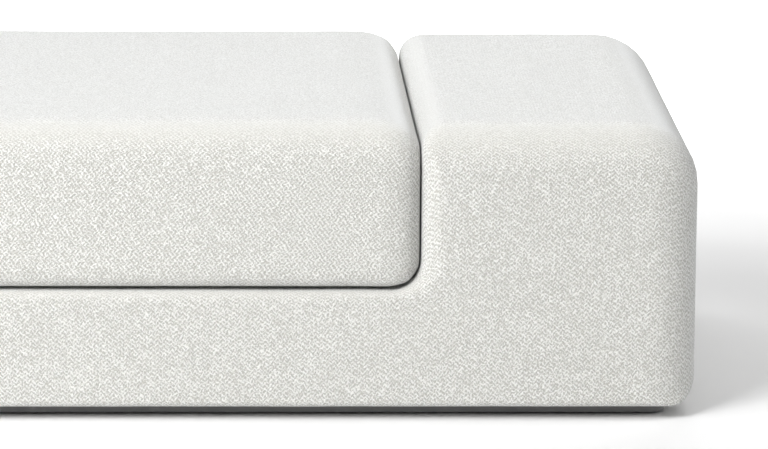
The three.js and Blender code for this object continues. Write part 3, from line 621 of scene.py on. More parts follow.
# The even height, as a share of the full height, that the painted highlight gives the loops along
# upward-facing edges; it sets their colour too.
MEAN_LOOP = 0.27
# How far up the cloth faces where the painted highlight begins to even out the loops, and where it evens them
# most.
HIGHLIT_EDGE = (0.2, 0.95)
# How far up the cloth faces where the painted highlight begins to fade on level tops, and where the loops
# stand in full again.
LEVEL_TOP = (0.93, 0.998)
# The weave turns under where the surface faces down more than this.
UNDERSIDE = -0.3
CLOUD_SIZE = 0.09
CLOUD_STRENGTH = 0.25
CLOUD_TINT = (0.985, 0.98, 0.965)
FUZZ_TINT = (0.93, 0.96, 1.0, 1.0)


def looped_cloth(cloth, name, turned):
    """Off-white cloth of nubby loops in short slanting rows. A turned cloth runs up the front. The hollows
    between the loops are painted darker as painted shade, and a painted highlight evens out the loops along
    upward-facing edges.
    """
    surface = Surface(name)
    sway = surface.noise(cloth.wander_size, 1, output="Color")
    x, y, z = surface.parts(surface.vector("MULTIPLY_ADD", sway, (4 * cloth.wander,) * 3, surface.at))
    facing = surface.parts(surface.facing)
    facing_along, facing_out, facing_up = (surface.math("ABSOLUTE", part) for part in facing)
    on_end = surface.math("GREATER_THAN", facing_along, surface.math("MAXIMUM", facing_out, facing_up))
    below_top = surface.math("SUBTRACT", COVER_HIGH.z, z)
    over_edges = surface.math("MULTIPLY_ADD", surface.math("SIGN", y), below_top, y)
    under_edges = surface.math("ADD", z, surface.math("ABSOLUTE", y))
    along = surface.choose(on_end, x, y)
    up = surface.choose(surface.math("LESS_THAN", facing[2], UNDERSIDE), over_edges, under_edges)
    up = surface.choose(on_end, up, z)
    if turned:
        along, up = up, along
    total = sum(height for _, _, height in WEAVE_WAVES)
    rows = 0.0
    for number, (wide, narrow, height) in enumerate(WEAVE_WAVES):
        start = TURN * WAVE_START_SHARE * number
        turns = surface.math("MULTIPLY_ADD", along, TURN * wide / cloth.wide_repeat, start)
        turns = surface.math("MULTIPLY_ADD", up, TURN * narrow / cloth.narrow_repeat, turns)
        rows = surface.math("MULTIPLY_ADD", surface.math("SINE", turns), height / total, rows)
    for size, height in ((cloth.nub_size, cloth.nub_height), (cloth.fibre_size, cloth.fibre_height)):
        nubs = surface.math("SUBTRACT", surface.noise(size, 1), 0.5)
        rows = surface.math("MULTIPLY_ADD", nubs, 4 * height, rows)
    loops = surface.range(rows, -cloth.softness, cloth.softness, eased=True)
    # Painted highlight: along upward-facing rounded edges the loops are evened out to MEAN_LOOP in colour and
    # relief, as strong top light washes out the weave there.
    highlit_edge = surface.range(facing[2], *HIGHLIT_EDGE, 0.0, cloth.painted_highlight, eased=True)
    highlight_mask = surface.math("MULTIPLY", highlit_edge, surface.range(facing[2], *LEVEL_TOP, 1.0, 0.0))
    loops = surface.choose(highlight_mask, loops, MEAN_LOOP)
    # Painted shade: the hollows between the loops take the darker colour, the loops' tops the yarn's.
    shade = surface.colours(loops, cloth.shaded_ground, cloth.yarn)
    cloudy = surface.range(surface.noise(CLOUD_SIZE), 0.3, 0.7, 0.0, CLOUD_STRENGTH)
    shade = surface.colours(cloudy, shade, CLOUD_TINT, "MULTIPLY")
    return surface.finish(shade, 0.95, surface.bump(loops, cloth.loop_height), specular_ior_level=0.15,
                          sheen_weight=cloth.fuzz, sheen_roughness=0.6, sheen_tint=FUZZ_TINT)


def open_foam(settings, name):
    """Cut foam, with its small open cells, yellowed in places."""
    surface = Surface(name)
    cell_size, age_size = 0.0018, 0.07
    cells = surface.node("ShaderNodeTexVoronoi", surface.at, None, 1 / cell_size)
    depth = surface.range(cells["Distance"], 0.1, 0.7, 1.0, 0.0)
    shade = surface.colours(depth, settings.foam, tinted(settings.foam, 0.72))
    aged = surface.range(surface.noise(age_size, 3), 0.35, 0.7)
    shade = surface.colours(surface.math("MULTIPLY", aged, 0.35), shade, (0.78, 0.62, 0.30), "MULTIPLY")
    return surface.finish(shade, 0.95, surface.bump(depth, 0.0006, 0.8), specular_ior_level=0.2)


def fluffy_wadding():
    """White wadding of crimped fibres in tufts."""
    surface = Surface("polyester_wadding")
    tufts = surface.noise(0.012, 4, (1, 2.2, 1))
    fibres = surface.noise(0.0016, 3, (1, 6, 1))
    height = surface.math("MULTIPLY_ADD", fibres, 0.25, tufts)
    tones = ((0.72, 0.72, 0.70), (0.93, 0.93, 0.92))
    return surface.two_tone(height, (0.35, 0.85), tones, 1.0, 0.004, 0.8, sheen_weight=0.3)


def needled_felt():
    """Grey felt of waste fibres, with blue flecks."""
    surface = Surface("needled_felt")
    fibres = surface.noise(0.0022, 4, (1, 3, 1))
    shade = surface.colours(surface.range(fibres, 0.3, 0.7), (0.17, 0.165, 0.15), (0.36, 0.35, 0.33))
    flecks = surface.range(surface.noise(0.0035, 1, (3, 1, 1)), 0.66, 0.72)
    shade = surface.colours(flecks, shade, (0.12, 0.16, 0.28))
    return surface.finish(shade, 1.0, surface.bump(fibres, 0.0008, 0.9))


def dust_cloth():
    """Black spunbonded cloth, with its small embossed squares."""
    surface = Surface("black_spunbond")
    x, y, _ = surface.parts(surface.at)
    square = 0.0021
    squares = surface.math("MULTIPLY", surface.wave(x, square), surface.wave(y, square))
    fibres = surface.noise(0.0012, 3, (4, 1, 1))
    shade = surface.colours(fibres, (0.006, 0.006, 0.0065), (0.026, 0.026, 0.028))
    height = surface.math("MULTIPLY_ADD", fibres, 0.4, surface.range(squares, 0.2, 0.7, 1.0, 0.0))
    return surface.finish(shade, 0.8, surface.bump(height, 0.0002, 0.8), specular_ior_level=0.3)


def plywood(settings, thin_way):
    """Birch plywood. thin_way is the axis that its plies are stacked along."""
    surface = Surface(f"birch_plywood_{'xyz'[thin_way]}")
    ply_pair, pore_size = 0.0028, 0.0009
    stretch = [1.0, 1.0, 1.0]
    stretch[1 if thin_way == 0 else 0] = 16.0
    grain = surface.noise(0.004, 6, stretch)
    figure = surface.noise(0.03, 3, stretch)
    strength = surface.range(surface.math("MULTIPLY_ADD", figure, 0.8, grain), 0.6, 1.2)
    light, dark = tinted(settings.veneer, 1.22), tinted(settings.veneer, 0.72)
    face = surface.colours(strength, light, dark)
    pores = surface.range(surface.noise(pore_size, 1, [1 + 0.5 * value for value in stretch]), 0.62, 0.72)
    face = surface.colours(surface.math("MULTIPLY", pores, 0.5), face, tinted(dark, 0.45))
    plies = surface.wave(surface.parts(surface.at)[thin_way], ply_pair)
    edge = surface.colours(surface.range(plies, -0.25, 0.25), dark, light)
    facing = surface.math("ABSOLUTE", surface.parts(surface.facing)[thin_way])
    shade = surface.colours(surface.math("GREATER_THAN", facing, 0.7), edge, face)
    return surface.finish(shade, surface.range(grain, 0.3, 0.7, 0.5, 0.7),
                          surface.bump(grain, 0.0003, 0.6), specular_ior_level=0.35)


def plinth_lacquer(settings):
    """Matt dark lacquer over close-grained board, a little worn in patches."""
    surface = Surface("plinth_lacquer")
    grain = surface.noise(0.0012, 4, (14, 1, 1))
    peel = surface.noise(0.006)
    worn = surface.range(surface.noise(0.018, 4), 0.62, 0.8, 0.0, 0.5)
    shade = surface.colours(grain, settings.lacquer, tinted(settings.lacquer, 1.35))
    shade = surface.colours(worn, shade, tinted(settings.lacquer, 1.9))
    height = surface.math("MULTIPLY_ADD", grain, 0.5, peel)
    return surface.finish(shade, surface.range(peel, 0.3, 0.7, 0.48, 0.66),
                          surface.bump(height, 0.00025, 0.5), specular_ior_level=0.4)


def zinc_steel(settings, name):
    """Zinc-plated steel with its cloudy, faintly drawn surface."""
    surface = Surface(name)
    drawn = surface.noise(0.0008, 3, (10, 1, 1))
    cloud = surface.noise(0.015, 4)
    warm = tinted(settings.zinc, 1.08, 1.05, 0.94)
    shade = surface.colours(surface.range(cloud, 0.3, 0.7), settings.zinc, warm)
    rough = surface.range(surface.math("MULTIPLY_ADD", drawn, 0.4, cloud), 0.5, 0.9, 0.26, 0.44)
    return surface.finish(shade, rough, surface.bump(drawn, 0.00008, 0.4), metallic=1.0)


def moulded_nylon():
    """Black nylon, scuffed where it slides."""
    surface = Surface("moulded_nylon")
    skin = surface.noise(0.0007)
    scuffs = surface.noise(0.004, 5, (5, 1, 1))
    shade = surface.colours(surface.range(scuffs, 0.5, 0.75), (0.020, 0.020, 0.021), (0.060, 0.060, 0.062))
    return surface.finish(shade, surface.range(scuffs, 0.4, 0.7, 0.38, 0.6),
                          surface.bump(skin, 0.0001, 0.5), specular_ior_level=0.45)


def grip_tape(name, hooked):
    """The woven tape of a hook strip or a loop strip."""
    surface = Surface(name)
    x, y, _ = surface.parts(surface.at)
    stud_pitch = 0.0016
    studs = surface.math("MULTIPLY", surface.wave(x, stud_pitch), surface.wave(y, stud_pitch))
    height = surface.noise(0.0011 if hooked else 0.0028, 4)
    if hooked:
        height = surface.math("MULTIPLY_ADD", height, 0.5, surface.range(studs, -0.1, 0.6))
    tones = ((0.48, 0.47, 0.43), (0.78, 0.77, 0.73))
    return surface.two_tone(height, (0.3, 0.9), tones, 0.9, 0.0007, 0.9, sheen_weight=0.15)


def woven_tape():
    """The zip's tape, a fine herringbone."""
    surface = Surface("zip_tape")
    x, _, z = surface.parts(surface.at)
    rib_width, yarn_pitch = 0.0012, 0.0009
    weave = surface.wave(surface.math("ADD", x, surface.math("PINGPONG", z, rib_width)), yarn_pitch)
    tones = ((0.56, 0.55, 0.51), (0.76, 0.75, 0.71))
    return surface.two_tone(weave, (-1, 1), tones, 0.85, 0.0001, 0.6, sheen_weight=0.1)


def sewing_thread(trim):
    """Thread with the slanting lines of its twist."""
    surface = Surface("sewing_thread")
    x, y, z = surface.parts(surface.at)
    twist_pitch = 0.0004
    twist = surface.wave(surface.math("ADD", x, surface.math("ADD", y, z)), twist_pitch)
    tones = (tinted(trim.thread, 0.8), trim.thread)
    return surface.two_tone(twist, (-1, 1), tones, 0.6, 0.00005, 0.6, sheen_weight=0.1)


def zip_coil():
    """Smooth, slightly mottled nylon."""
    surface = Surface("zip_coil")
    spots = surface.noise(0.0006)
    shade = surface.colours(spots, (0.66, 0.65, 0.60), (0.82, 0.81, 0.77))
    rough = surface.range(spots, 0.3, 0.7, 0.28, 0.42)
    return surface.finish(shade, rough, surface.bump(spots, 0.00003, 0.4))


def floor_finish():
    """A floor that shows white to the camera and keeps the divan's shadow."""
    surface = Surface("pale_floor")
    seen = surface.seen()
    grain = surface.range(surface.noise(0.4, 3), 0.3, 0.7, 0.0, 0.02)
    plain = surface.colours(grain, (0.85, 0.85, 0.85), (0.83, 0.83, 0.83))
    shade = surface.colours(seen, plain, (0.94, 0.94, 0.94))
    glow_start, glow_full = 1.5, 2.4
    distance = surface.node("ShaderNodeVectorMath", surface.at, operation="LENGTH")["Value"]
    glow = surface.math("MULTIPLY", surface.range(distance, glow_start, glow_full, eased=True), seen)
    return surface.finish(shade, 0.9, None, specular_ior_level=0.0,
                          emission_strength=glow, emission_color=(1, 1, 1, 1))


# Rows of small pieces, made with Geometry Nodes

class Row(Nodes):
    """A Geometry Nodes tree with named inputs, the last of which is the copies' material."""

    def __init__(self, name, inputs):
        super().__init__(bpy.data.node_groups.new(name, "GeometryNodeTree"))
        sockets = self.tree.interface
        for label, kind, default in (*inputs, ("Finish", "Material", None)):
            item = sockets.new_socket(label, in_out="INPUT", socket_type=f"NodeSocket{kind}")
            if default is not None:
                item.default_value = default
        sockets.new_socket("Geometry", in_out="OUTPUT", socket_type="NodeSocketGeometry")
        self.given = self.nodes.new("NodeGroupInput").outputs

    def circle(self, sides, radius):
        return self.node("GeometryNodeCurvePrimitiveCircle", sides, named={"Radius": radius})[0]

    def finish(self, geometry):
        real = self.node("GeometryNodeRealizeInstances", geometry)[0]
        painted = self.node("GeometryNodeSetMaterial", real, None, self.given["Finish"])[0]
        self.put(painted, self.nodes.new("NodeGroupOutput").inputs["Geometry"])
        return self.tree


# The wire of a ring, as a share of the ring's size, and the corners of the small pieces
RING_WIRE = 0.17
RING_SIDES, WIRE_SIDES = 10, 5
BEAD_SEGMENTS, BEAD_RINGS = 8, 6
SPRING_SIDES = 10


def row_tree(name, shape):
    """Copies of a small ring or bead along a line."""
    row = Row(name, (
        ("Start", "Vector", (0, 0, 0)),
        ("End", "Vector", (1, 0, 0)),
        ("Pitch", "Float", 0.004),
        ("Size", "Vector", (0.003, 0.001, 0.001)),
        ("Stray", "Vector", (0.0002, 0.0002, 0.0002)),
        ("Seed", "Int", 1),
    ))
    given = row.given
    line = row.node("GeometryNodeCurvePrimitiveLine", given["Start"], given["End"])[0]
    spots = row.node("GeometryNodeResampleCurve", line, mode="LENGTH", named={"Length": given["Pitch"]})[0]
    points = row.node("GeometryNodeCurveToPoints", spots, mode="EVALUATED")[0]
    low = row.vector("MULTIPLY", given["Stray"], (-1, -1, -1))
    chance = row.node("FunctionNodeRandomValue", low, given["Stray"], data_type="FLOAT_VECTOR",
                      named={"Seed": given["Seed"]})[0]
    strayed = row.node("GeometryNodeSetPosition", points, None, None, chance)[0]
    if shape == "ring":
        upright = row.node("GeometryNodeTransform", row.circle(RING_SIDES, 0.5), None, (0, QUARTER, 0))[0]
        body = row.node("GeometryNodeCurveToMesh", upright, row.circle(WIRE_SIDES, RING_WIRE))[0]
    else:
        body = row.node("GeometryNodeMeshUVSphere", BEAD_SEGMENTS, BEAD_RINGS, 0.5)[0]
    copies = row.node("GeometryNodeInstanceOnPoints", strayed, None, body, named={"Scale": given["Size"]})[0]
    return row.finish(copies)


def spring_tree():
    """Copies of one bent wire side by side, as round wire."""
    row = Row("spring_row", (
        ("Wire", "Geometry", None),
        ("Count", "Int", 6),
        ("First", "Vector", (0, 0, 0)),
        ("Spacing", "Vector", (0.1, 0, 0)),
        ("Radius", "Float", 0.0019),
        ("Sides", "Int", SPRING_SIDES),
    ))
    given = row.given
    wire = row.node("GeometryNodeMeshToCurve", given["Wire"])[0]
    places = row.node("GeometryNodeMeshLine", given["Count"], None, given["First"], given["Spacing"])[0]
    copies = row.node("GeometryNodeInstanceOnPoints", places, None, wire)[0]
    wires = row.node("GeometryNodeRealizeInstances", copies)[0]
    section = row.circle(given["Sides"], given["Radius"])
    return row.finish(row.node("GeometryNodeCurveToMesh", wires, section, named={"Fill Caps": True})[0])


def run_tree(piece, tree, **values):
    """Runs a tree on the piece with its named inputs, and keeps the plain mesh."""
    modifier = piece.modifiers.new("Row", "NODES")
    modifier.node_group = tree
    for item in tree.interface.items_tree:
        if item.in_out == "INPUT" and item.name in values:
            modifier[item.identifier] = values[item.name]
    apply_modifiers(piece)
    smooth(piece)


def join(name, pieces):
    """Joins plain meshes into one object."""
    work = bmesh.new()
    for piece in pieces:
        old = piece.data
        work.from_mesh(old)
        bpy.data.objects.remove(piece)
        bpy.data.meshes.remove(old)
    for face in work.faces:
        face.material_index = 0
    joined = new_object(name, bpy.data.meshes.new(name))
    put_back(work, joined)
    smooth(joined)
    return joined


def rows_of(name, tree, finish, seed, rows):
    """Rows of small pieces in one object. A row is its start, end, pitch, size and stray."""
    pieces = []
    for number, (start, end, pitch, size, stray) in enumerate(rows):
        piece = mesh_object(f"{name}_{number}", [], [])
        run_tree(piece, tree, Start=start, End=end, Pitch=pitch, Size=size, Stray=stray,
                 Seed=seed + number, Finish=finish)
        pieces.append(piece)
    return join(name, pieces)


# Pieces

def dress(piece, material, body, slot, *nodes):
    """Gives a finished piece its material and its body, and hides the nodes that it stands for. The slot is
    not used.
    """
    piece.data.materials.clear()
    piece.data.materials.append(material)
    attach(piece, body)
    if nodes:
        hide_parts(*nodes)


class DIVAN_OT_cradle_cover(bpy.types.Operator):
    """Make the fixed cover: deck, two blocks and the hem under the frame, in one looped cloth"""

    bl_idname = "divan.cradle_cover"
    bl_label = "Cradle cover"

    lump_size = 0.11
    underside_depth = 0.002

    def execute(self, context):
        cover = context.scene.divan_cover
        piece = cradle_body(cover, cover.mesh_step).build("cradle_cover")
        self.crown_blocks(piece, cover)
        push_lumps(piece, cover.lumps, self.lump_size)
        self.open_underside(piece, cover)
        thicken(piece, cover.thickness)
        smooth(piece)
        cloth = looped_cloth(context.scene.divan_cloth, "looped_cloth", False)
        dress(piece, cloth, CRADLE, "boucle", "base_cover")
        return {"FINISHED"}

    @staticmethod
    def crown_blocks(piece, cover):
        """Swells each block's top a little towards its middle."""
        half_width = (COVER_HIGH.x - WELL_HALF) / 2
        middle = WELL_HALF + half_width
        for vertex in piece.data.vertices:
            u = (abs(vertex.co.x) - middle) / half_width
            v = vertex.co.y / COVER_HIGH.y
            w = (vertex.co.z - DECK_HEIGHT) / (COVER_HIGH.z - DECK_HEIGHT)
            if abs(u) < 1 and w > 0:
                vertex.co.z += cover.block_crown * (1 - u * u) * (1 - v * v) * w
        piece.data.update()

    def open_underside(self, piece, cover):
        """Cuts the opening inside the hem, where the frame is stapled."""
        level = COVER_LOW.z + self.underside_depth
        reach_x, reach_y = COVER_HIGH.x - cover.hem_width, COVER_HIGH.y - cover.hem_width
        open_window(piece, lambda place: place.z < level, {0: (-reach_x, reach_x), 1: (-reach_y, reach_y)})


class DIVAN_OT_seat_cushion(bpy.types.Operator):
    """Make the loose cushion: its cloth swells round the filling and stays within the well"""

    bl_idname = "divan.seat_cushion"
    bl_label = "Seat cushion"

    slot_depth = 0.010

    def execute(self, context):
        cushion = context.scene.divan_cushion
        piece = cushion_body(cushion).build("seat_cushion_cover", cushion.start_shrink)
        modify(piece, "REMESH", mode="VOXEL", voxel_size=cushion.voxel, use_smooth_shade=True)
        self.swell(context, piece, cushion)
        self.fit_space(piece, cushion.press_down, cushion.press_out)
        modify(piece, "SUBSURF", levels=1, render_levels=1)
        self.open_zip_slot(piece)
        thicken(piece, cushion.cover_thickness)
        smooth(piece, 50)
        cloth = looped_cloth(context.scene.divan_cloth, "looped_cloth_turned", True)
        dress(piece, cloth, CUSHION, "boucle", "cushion_cover")
        return {"FINISHED"}

    @staticmethod
    def swell(context, piece, cushion):
        """Lets the filling press the cloth out, and caps how far each point moves."""
        start = [vertex.co.copy() for vertex in piece.data.vertices]
        cloth = piece.modifiers.new("Cloth", "CLOTH")
        cloth.settings.quality = 5
        cloth.settings.use_pressure = True
        cloth.settings.uniform_pressure_force = cushion.pressure
        cloth.settings.effector_weights.gravity = 0
        cloth.point_cache.frame_start = 1
        cloth.point_cache.frame_end = cushion.swell_steps
        for step in range(1, cushion.swell_steps + 1):
            context.scene.frame_set(step)
        apply_modifiers(piece)
        for vertex, place in zip(piece.data.vertices, start):
            move = vertex.co - place
            if move.length > cushion.most_swell:
                move *= cushion.most_swell / move.length
            vertex.co = place + move
        piece.data.update()
        context.scene.frame_set(1)

    @staticmethod
    def fit_space(piece, down, out):
        """Fits the swollen cushion into its space, flat on the deck and against the well's walls."""
        for axis, (press_low, press_high) in enumerate(((out, out), (0, 0), (down, 0))):
            values = [vertex.co[axis] for vertex in piece.data.vertices]
            low, high = min(values), max(values)
            start = CUSHION_LOW[axis] - press_low
            scale = (CUSHION_HIGH[axis] + press_high - start) / (high - low)
            for vertex in piece.data.vertices:
                value = start + (vertex.co[axis] - low) * scale
                vertex.co[axis] = min(max(value, CUSHION_LOW[axis]), CUSHION_HIGH[axis])
        piece.data.update()

    def open_zip_slot(self, piece):
        """Cuts the slot that the zip's tape lies in, in the back of the cover."""
        near = TAPE_LOW.y - self.slot_depth
        sides = {axis: (TAPE_LOW[axis] - TOUCH_GAP, TAPE_HIGH[axis] + TOUCH_GAP) for axis in (0, 2)}
        open_window(piece, lambda place: place.y > near, sides)


class DIVAN_OT_cradle_foam(bpy.types.Operator):
    """Make the sheet foam between the cover and the timber frame"""

    bl_idname = "divan.cradle_foam"
    bl_label = "Cradle foam"

    def execute(self, context):
        settings = context.scene.divan_frame
        cover = context.scene.divan_cover
        material = open_foam(settings, "cradle_foam")
        far = COVER_HIGH.x + cover.outer_radius
        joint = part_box("deck_foam")[1].x
        block_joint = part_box("right_block_foam")[0].x
        deck_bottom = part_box("deck_foam")[0].z
        skirt_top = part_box("front_foam")[1].z
        zones = {
            "left_block_foam": ((-far, -far, 0), (-block_joint, far, far)),
            "right_block_foam": ((block_joint, -far, 0), (far, far, far)),
            "deck_foam": ((-joint, -far, deck_bottom), (joint, far, far)),
            "front_foam": ((-joint, -far, 0), (joint, 0, skirt_top)),
            "back_foam": ((-joint, 0, 0), (joint, far, skirt_top)),
        }
        body = cradle_body(cover, settings.foam_step)
        for node, (low, high) in zones.items():
            piece = body.build(f"{node}_piece", cover.thickness + TOUCH_GAP)
            for number, frame_box in enumerate(self.frame_boxes()):
                cut(piece, box_mesh(f"frame_box_{number}", *frame_box))
            cut(piece, box_mesh("zone", low, high), "INTERSECT")
            smooth(piece, 40)
            dress(piece, material, CRADLE, "foam", node)
        return {"FINISHED"}

    @staticmethod
    def frame_boxes():
        """Everything rigid inside the foam: the seat's box, and a box in each block."""
        reach_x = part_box("right_end_panel")[1].x + TOUCH_GAP
        reach_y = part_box("back_panel")[1].y + TOUCH_GAP
        well_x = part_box("right_inner_panel")[0].x - TOUCH_GAP
        block_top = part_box("right_block_top_board")[1].z + TOUCH_GAP
        deck_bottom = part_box("deck_foam")[0].z
        low = -COVER_HIGH.z
        return (
            ((-reach_x, -reach_y, low), (reach_x, reach_y, deck_bottom)),
            ((well_x, -reach_y, low), (reach_x, reach_y, block_top)),
            ((-reach_x, -reach_y, low), (-well_x, reach_y, block_top)),
        )


class DIVAN_OT_cushion_filling(bpy.types.Operator):
    """Make the cushion's foam core and the wadding wrapped round it"""

    bl_idname = "divan.cushion_filling"
    bl_label = "Cushion filling"

    lump_size = 0.03

    def execute(self, context):
        cushion = context.scene.divan_cushion
        wrap_depth = cushion.cover_thickness + TOUCH_GAP + cushion.filling_ease
        core_depth = wrap_depth + cushion.wrap_thickness - cushion.filling_ease
        core = cushion_body(cushion).build("foam_core", core_depth + TOUCH_GAP)
        smooth(core)
        dress(core, open_foam(context.scene.divan_frame, "core_foam"), CUSHION, "foam", "cushion_foam_core")
        wrap = cushion_body(cushion).build("wadding_wrap", wrap_depth)
        push_lumps(wrap, cushion.filling_ease, self.lump_size)
        self.keep_inside(wrap, wrap_depth)
        cut(wrap, cushion_body(cushion).build("core_space", core_depth))
        low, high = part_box("cushion_fibre_wrap")
        far = CUSHION_HIGH.y + CUSHION_HIGH.z
        cut(wrap, box_mesh("sleeve", (low.x, -far, 0), (high.x, far, far)), "INTERSECT")
        smooth(wrap, 50)
        dress(wrap, fluffy_wadding(), CUSHION, "fibre", "cushion_fibre_wrap")
        return {"FINISHED"}

    @staticmethod
    def keep_inside(piece, depth):
        """Moves each point of the piece to at least the given depth under the cushion's cloth."""
        cover = bpy.data.objects["seat_cushion_cover"].data
        count = len(cover.vertices) // 2
        outside = [face.vertices[:] for face in cover.polygons if max(face.vertices) < count]
        cloth = BVHTree.FromPolygons([vertex.co for vertex in cover.vertices[:count]], outside)
        for vertex in piece.data.vertices:
            near, normal, _, _ = cloth.find_nearest(vertex.co)
            short = depth - (near - vertex.co).dot(normal)
            if short > 0:
                vertex.co -= normal * short
        piece.data.update()


class DIVAN_OT_springs(bpy.types.Operator):
    """Make the zigzag springs under the deck as round wire"""

    bl_idname = "divan.springs"
    bl_label = "Springs"

    half_turn_steps = 10

    def execute(self, context):
        settings = context.scene.divan_frame
        low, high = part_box(SPRINGS[0])
        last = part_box(SPRINGS[-1])
        first_x = (low.x + high.x) / 2
        spacing = ((last[0].x + last[1].x) / 2 - first_x) / (len(SPRINGS) - 1)
        points = self.route(settings, low, high)
        piece = mesh_object("zigzag_springs", points, [], [(i, i + 1) for i in range(len(points) - 1)])
        steel = zinc_steel(settings, "spring_steel")
        run_tree(piece, spring_tree(), Count=len(SPRINGS), First=(first_x, 0, 0), Spacing=(spacing, 0, 0),
                 Radius=settings.wire_radius, Sides=SPRING_SIDES, Finish=steel)
        dress(piece, steel, CRADLE, "zinc_steel", *SPRINGS)
        return {"FINISHED"}

    def route(self, settings, low, high):
        """The middle of one wire, bowed up between its end bars."""
        flat_reach = settings.wire_radius * math.cos(math.radians(45))
        bar_y, bar_z = high.y - flat_reach, low.z + flat_reach
        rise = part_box("deck_felt")[0].z - TOUCH_GAP - settings.wire_radius - bar_z
        loops = settings.spring_loops
        pitch = 2 * bar_y / loops
        bar = settings.spring_width / 2 - pitch / 2
        points = [(-bar - settings.spring_end_run, -bar_y, bar_z)]
        for loop in range(loops):
            side = -1 if loop % 2 else 1
            for i in range(self.half_turn_steps + 1):
                turn = math.pi * i / self.half_turn_steps
                y = -bar_y + pitch * loop + pitch / 2 * (1 - math.cos(turn))
                x = side * (bar + pitch / 2 * math.sin(turn))
                points.append((x, y, bar_z + rise * (1 - (y / bar_y) ** 2)))
        last_side = 1 if loops % 2 else -1
        points.append((-last_side * (bar + settings.spring_end_run), bar_y, bar_z))
        return points


class DIVAN_OT_felt_and_dust_cover(bpy.types.Operator):
    """Make the felt on the springs and the black cloth under the frame"""

    bl_idname = "divan.felt_and_dust_cover"
    bl_label = "Felt and dust cover"

    felt_corner = 0.002
    mesh_step = 0.02
    corner_steps = 6
    hole_radius = 0.0046
    hole_sides = 20
    hole_reach = (-0.02, 0.06)
    ripple_size, ripple_height = 0.06, 0.12

    def execute(self, context):
        settings = context.scene.divan_frame
        low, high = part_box("deck_felt")
        felt = self.sheet("deck_felt_sheet", low, high, self.felt_corner, settings.felt_thickness)
        dress(felt, needled_felt(), CRADLE, "felt", "deck_felt")

        low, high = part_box("dust_cover")
        openings = self.plinth_openings()
        cloth = self.sheet("dust_cover_cloth", low, high, settings.dust_cover_corner, high.z - low.z,
                           lambda place: settings.dust_cover_sag * self.sag_share(place, openings))
        for bolt in BOLTS:
            self.cut_hole(cloth, bolt)
        dress(cloth, dust_cloth(), CRADLE, "dust_cloth", "dust_cover")
        return {"FINISHED"}

    def sheet(self, name, low, high, corner, thickness, sag=lambda place: 0):
        """A flat sheet with rounded corners, which may sag."""
        step = self.mesh_step
        outline = []
        for sign_x, sign_y, start in ((1, -1, -1), (1, 1, 0), (-1, 1, 1), (-1, -1, 2)):
            middle = Vector((sign_x * (high.x - corner), sign_y * (high.y - corner)))
            for i in range(self.corner_steps + 1):
                bend = (start + i / self.corner_steps) * QUARTER
                outline.append(middle + corner * Vector((math.cos(bend), math.sin(bend))))
        dense = []
        for a, b in zip(outline, outline[1:] + outline[:1]):
            count = max(1, round((b - a).length / step))
            dense += [a.lerp(b, i / count) for i in range(count)]
        inner = []
        margin = RoundedBody.clear_share * step
        for i in range(1, round(2 * high.x / step)):
            for j in range(1, round(2 * high.y / step)):
                place = Vector((-high.x + i * step, -high.y + j * step))
                past = Vector((abs(place.x) - high.x, abs(place.y) - high.y))
                rounded = past + Vector((corner, corner))
                near_corner = min(rounded) > 0 and rounded.length > corner - margin
                if max(past) < -margin and not near_corner:
                    inner.append(place)
        places, _, faces, _, _, _ = fill_outline(dense, inner)
        piece = mesh_object(name, [(place.x, place.y, high.z - sag(place)) for place in places], faces)
        face_along(piece, 2)
        thicken(piece, thickness)
        smooth(piece, 40)
        return piece

    @staticmethod
    def plinth_openings():
        """The left and right ends of each opening between the plinth's boards."""
        names = ("left_rail", "cross_rail_left", "cross_rail_right", "right_rail")
        rails = [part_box(f"plinth_{name}") for name in names]
        return [(left[1].x, right[0].x) for left, right in zip(rails, rails[1:])]

    def sag_share(self, place, openings):
        """From 0 at the plinth's boards to 1 in the middle of each opening between them."""
        for left, right in openings:
            if left < place.x < right and abs(place.y) < PLINTH_REACH:
                u = (place.x - left) / (right - left)
                v = (place.y + PLINTH_REACH) / (2 * PLINTH_REACH)
                wrinkle = noise.noise(Vector((place.x, place.y, 0)) / self.ripple_size)
                return (16 * u * (1 - u) * v * (1 - v)) ** 0.8 * (1 + self.ripple_height * wrinkle)
        return 0.0

    def cut_hole(self, cloth, bolt):
        """A clear hole for a bolt's shank."""
        low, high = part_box(bolt)
        middle = (low + high) / 2
        points = []
        for z in self.hole_reach:
            for i in range(self.hole_sides):
                bend = TURN * i / self.hole_sides
                points.append((middle.x + self.hole_radius * math.cos(bend),
                               middle.y + self.hole_radius * math.sin(bend), z))
        faces = bands(2, self.hole_sides) + end_faces(2, self.hole_sides)
        cut(cloth, mesh_object("hole", points, faces))


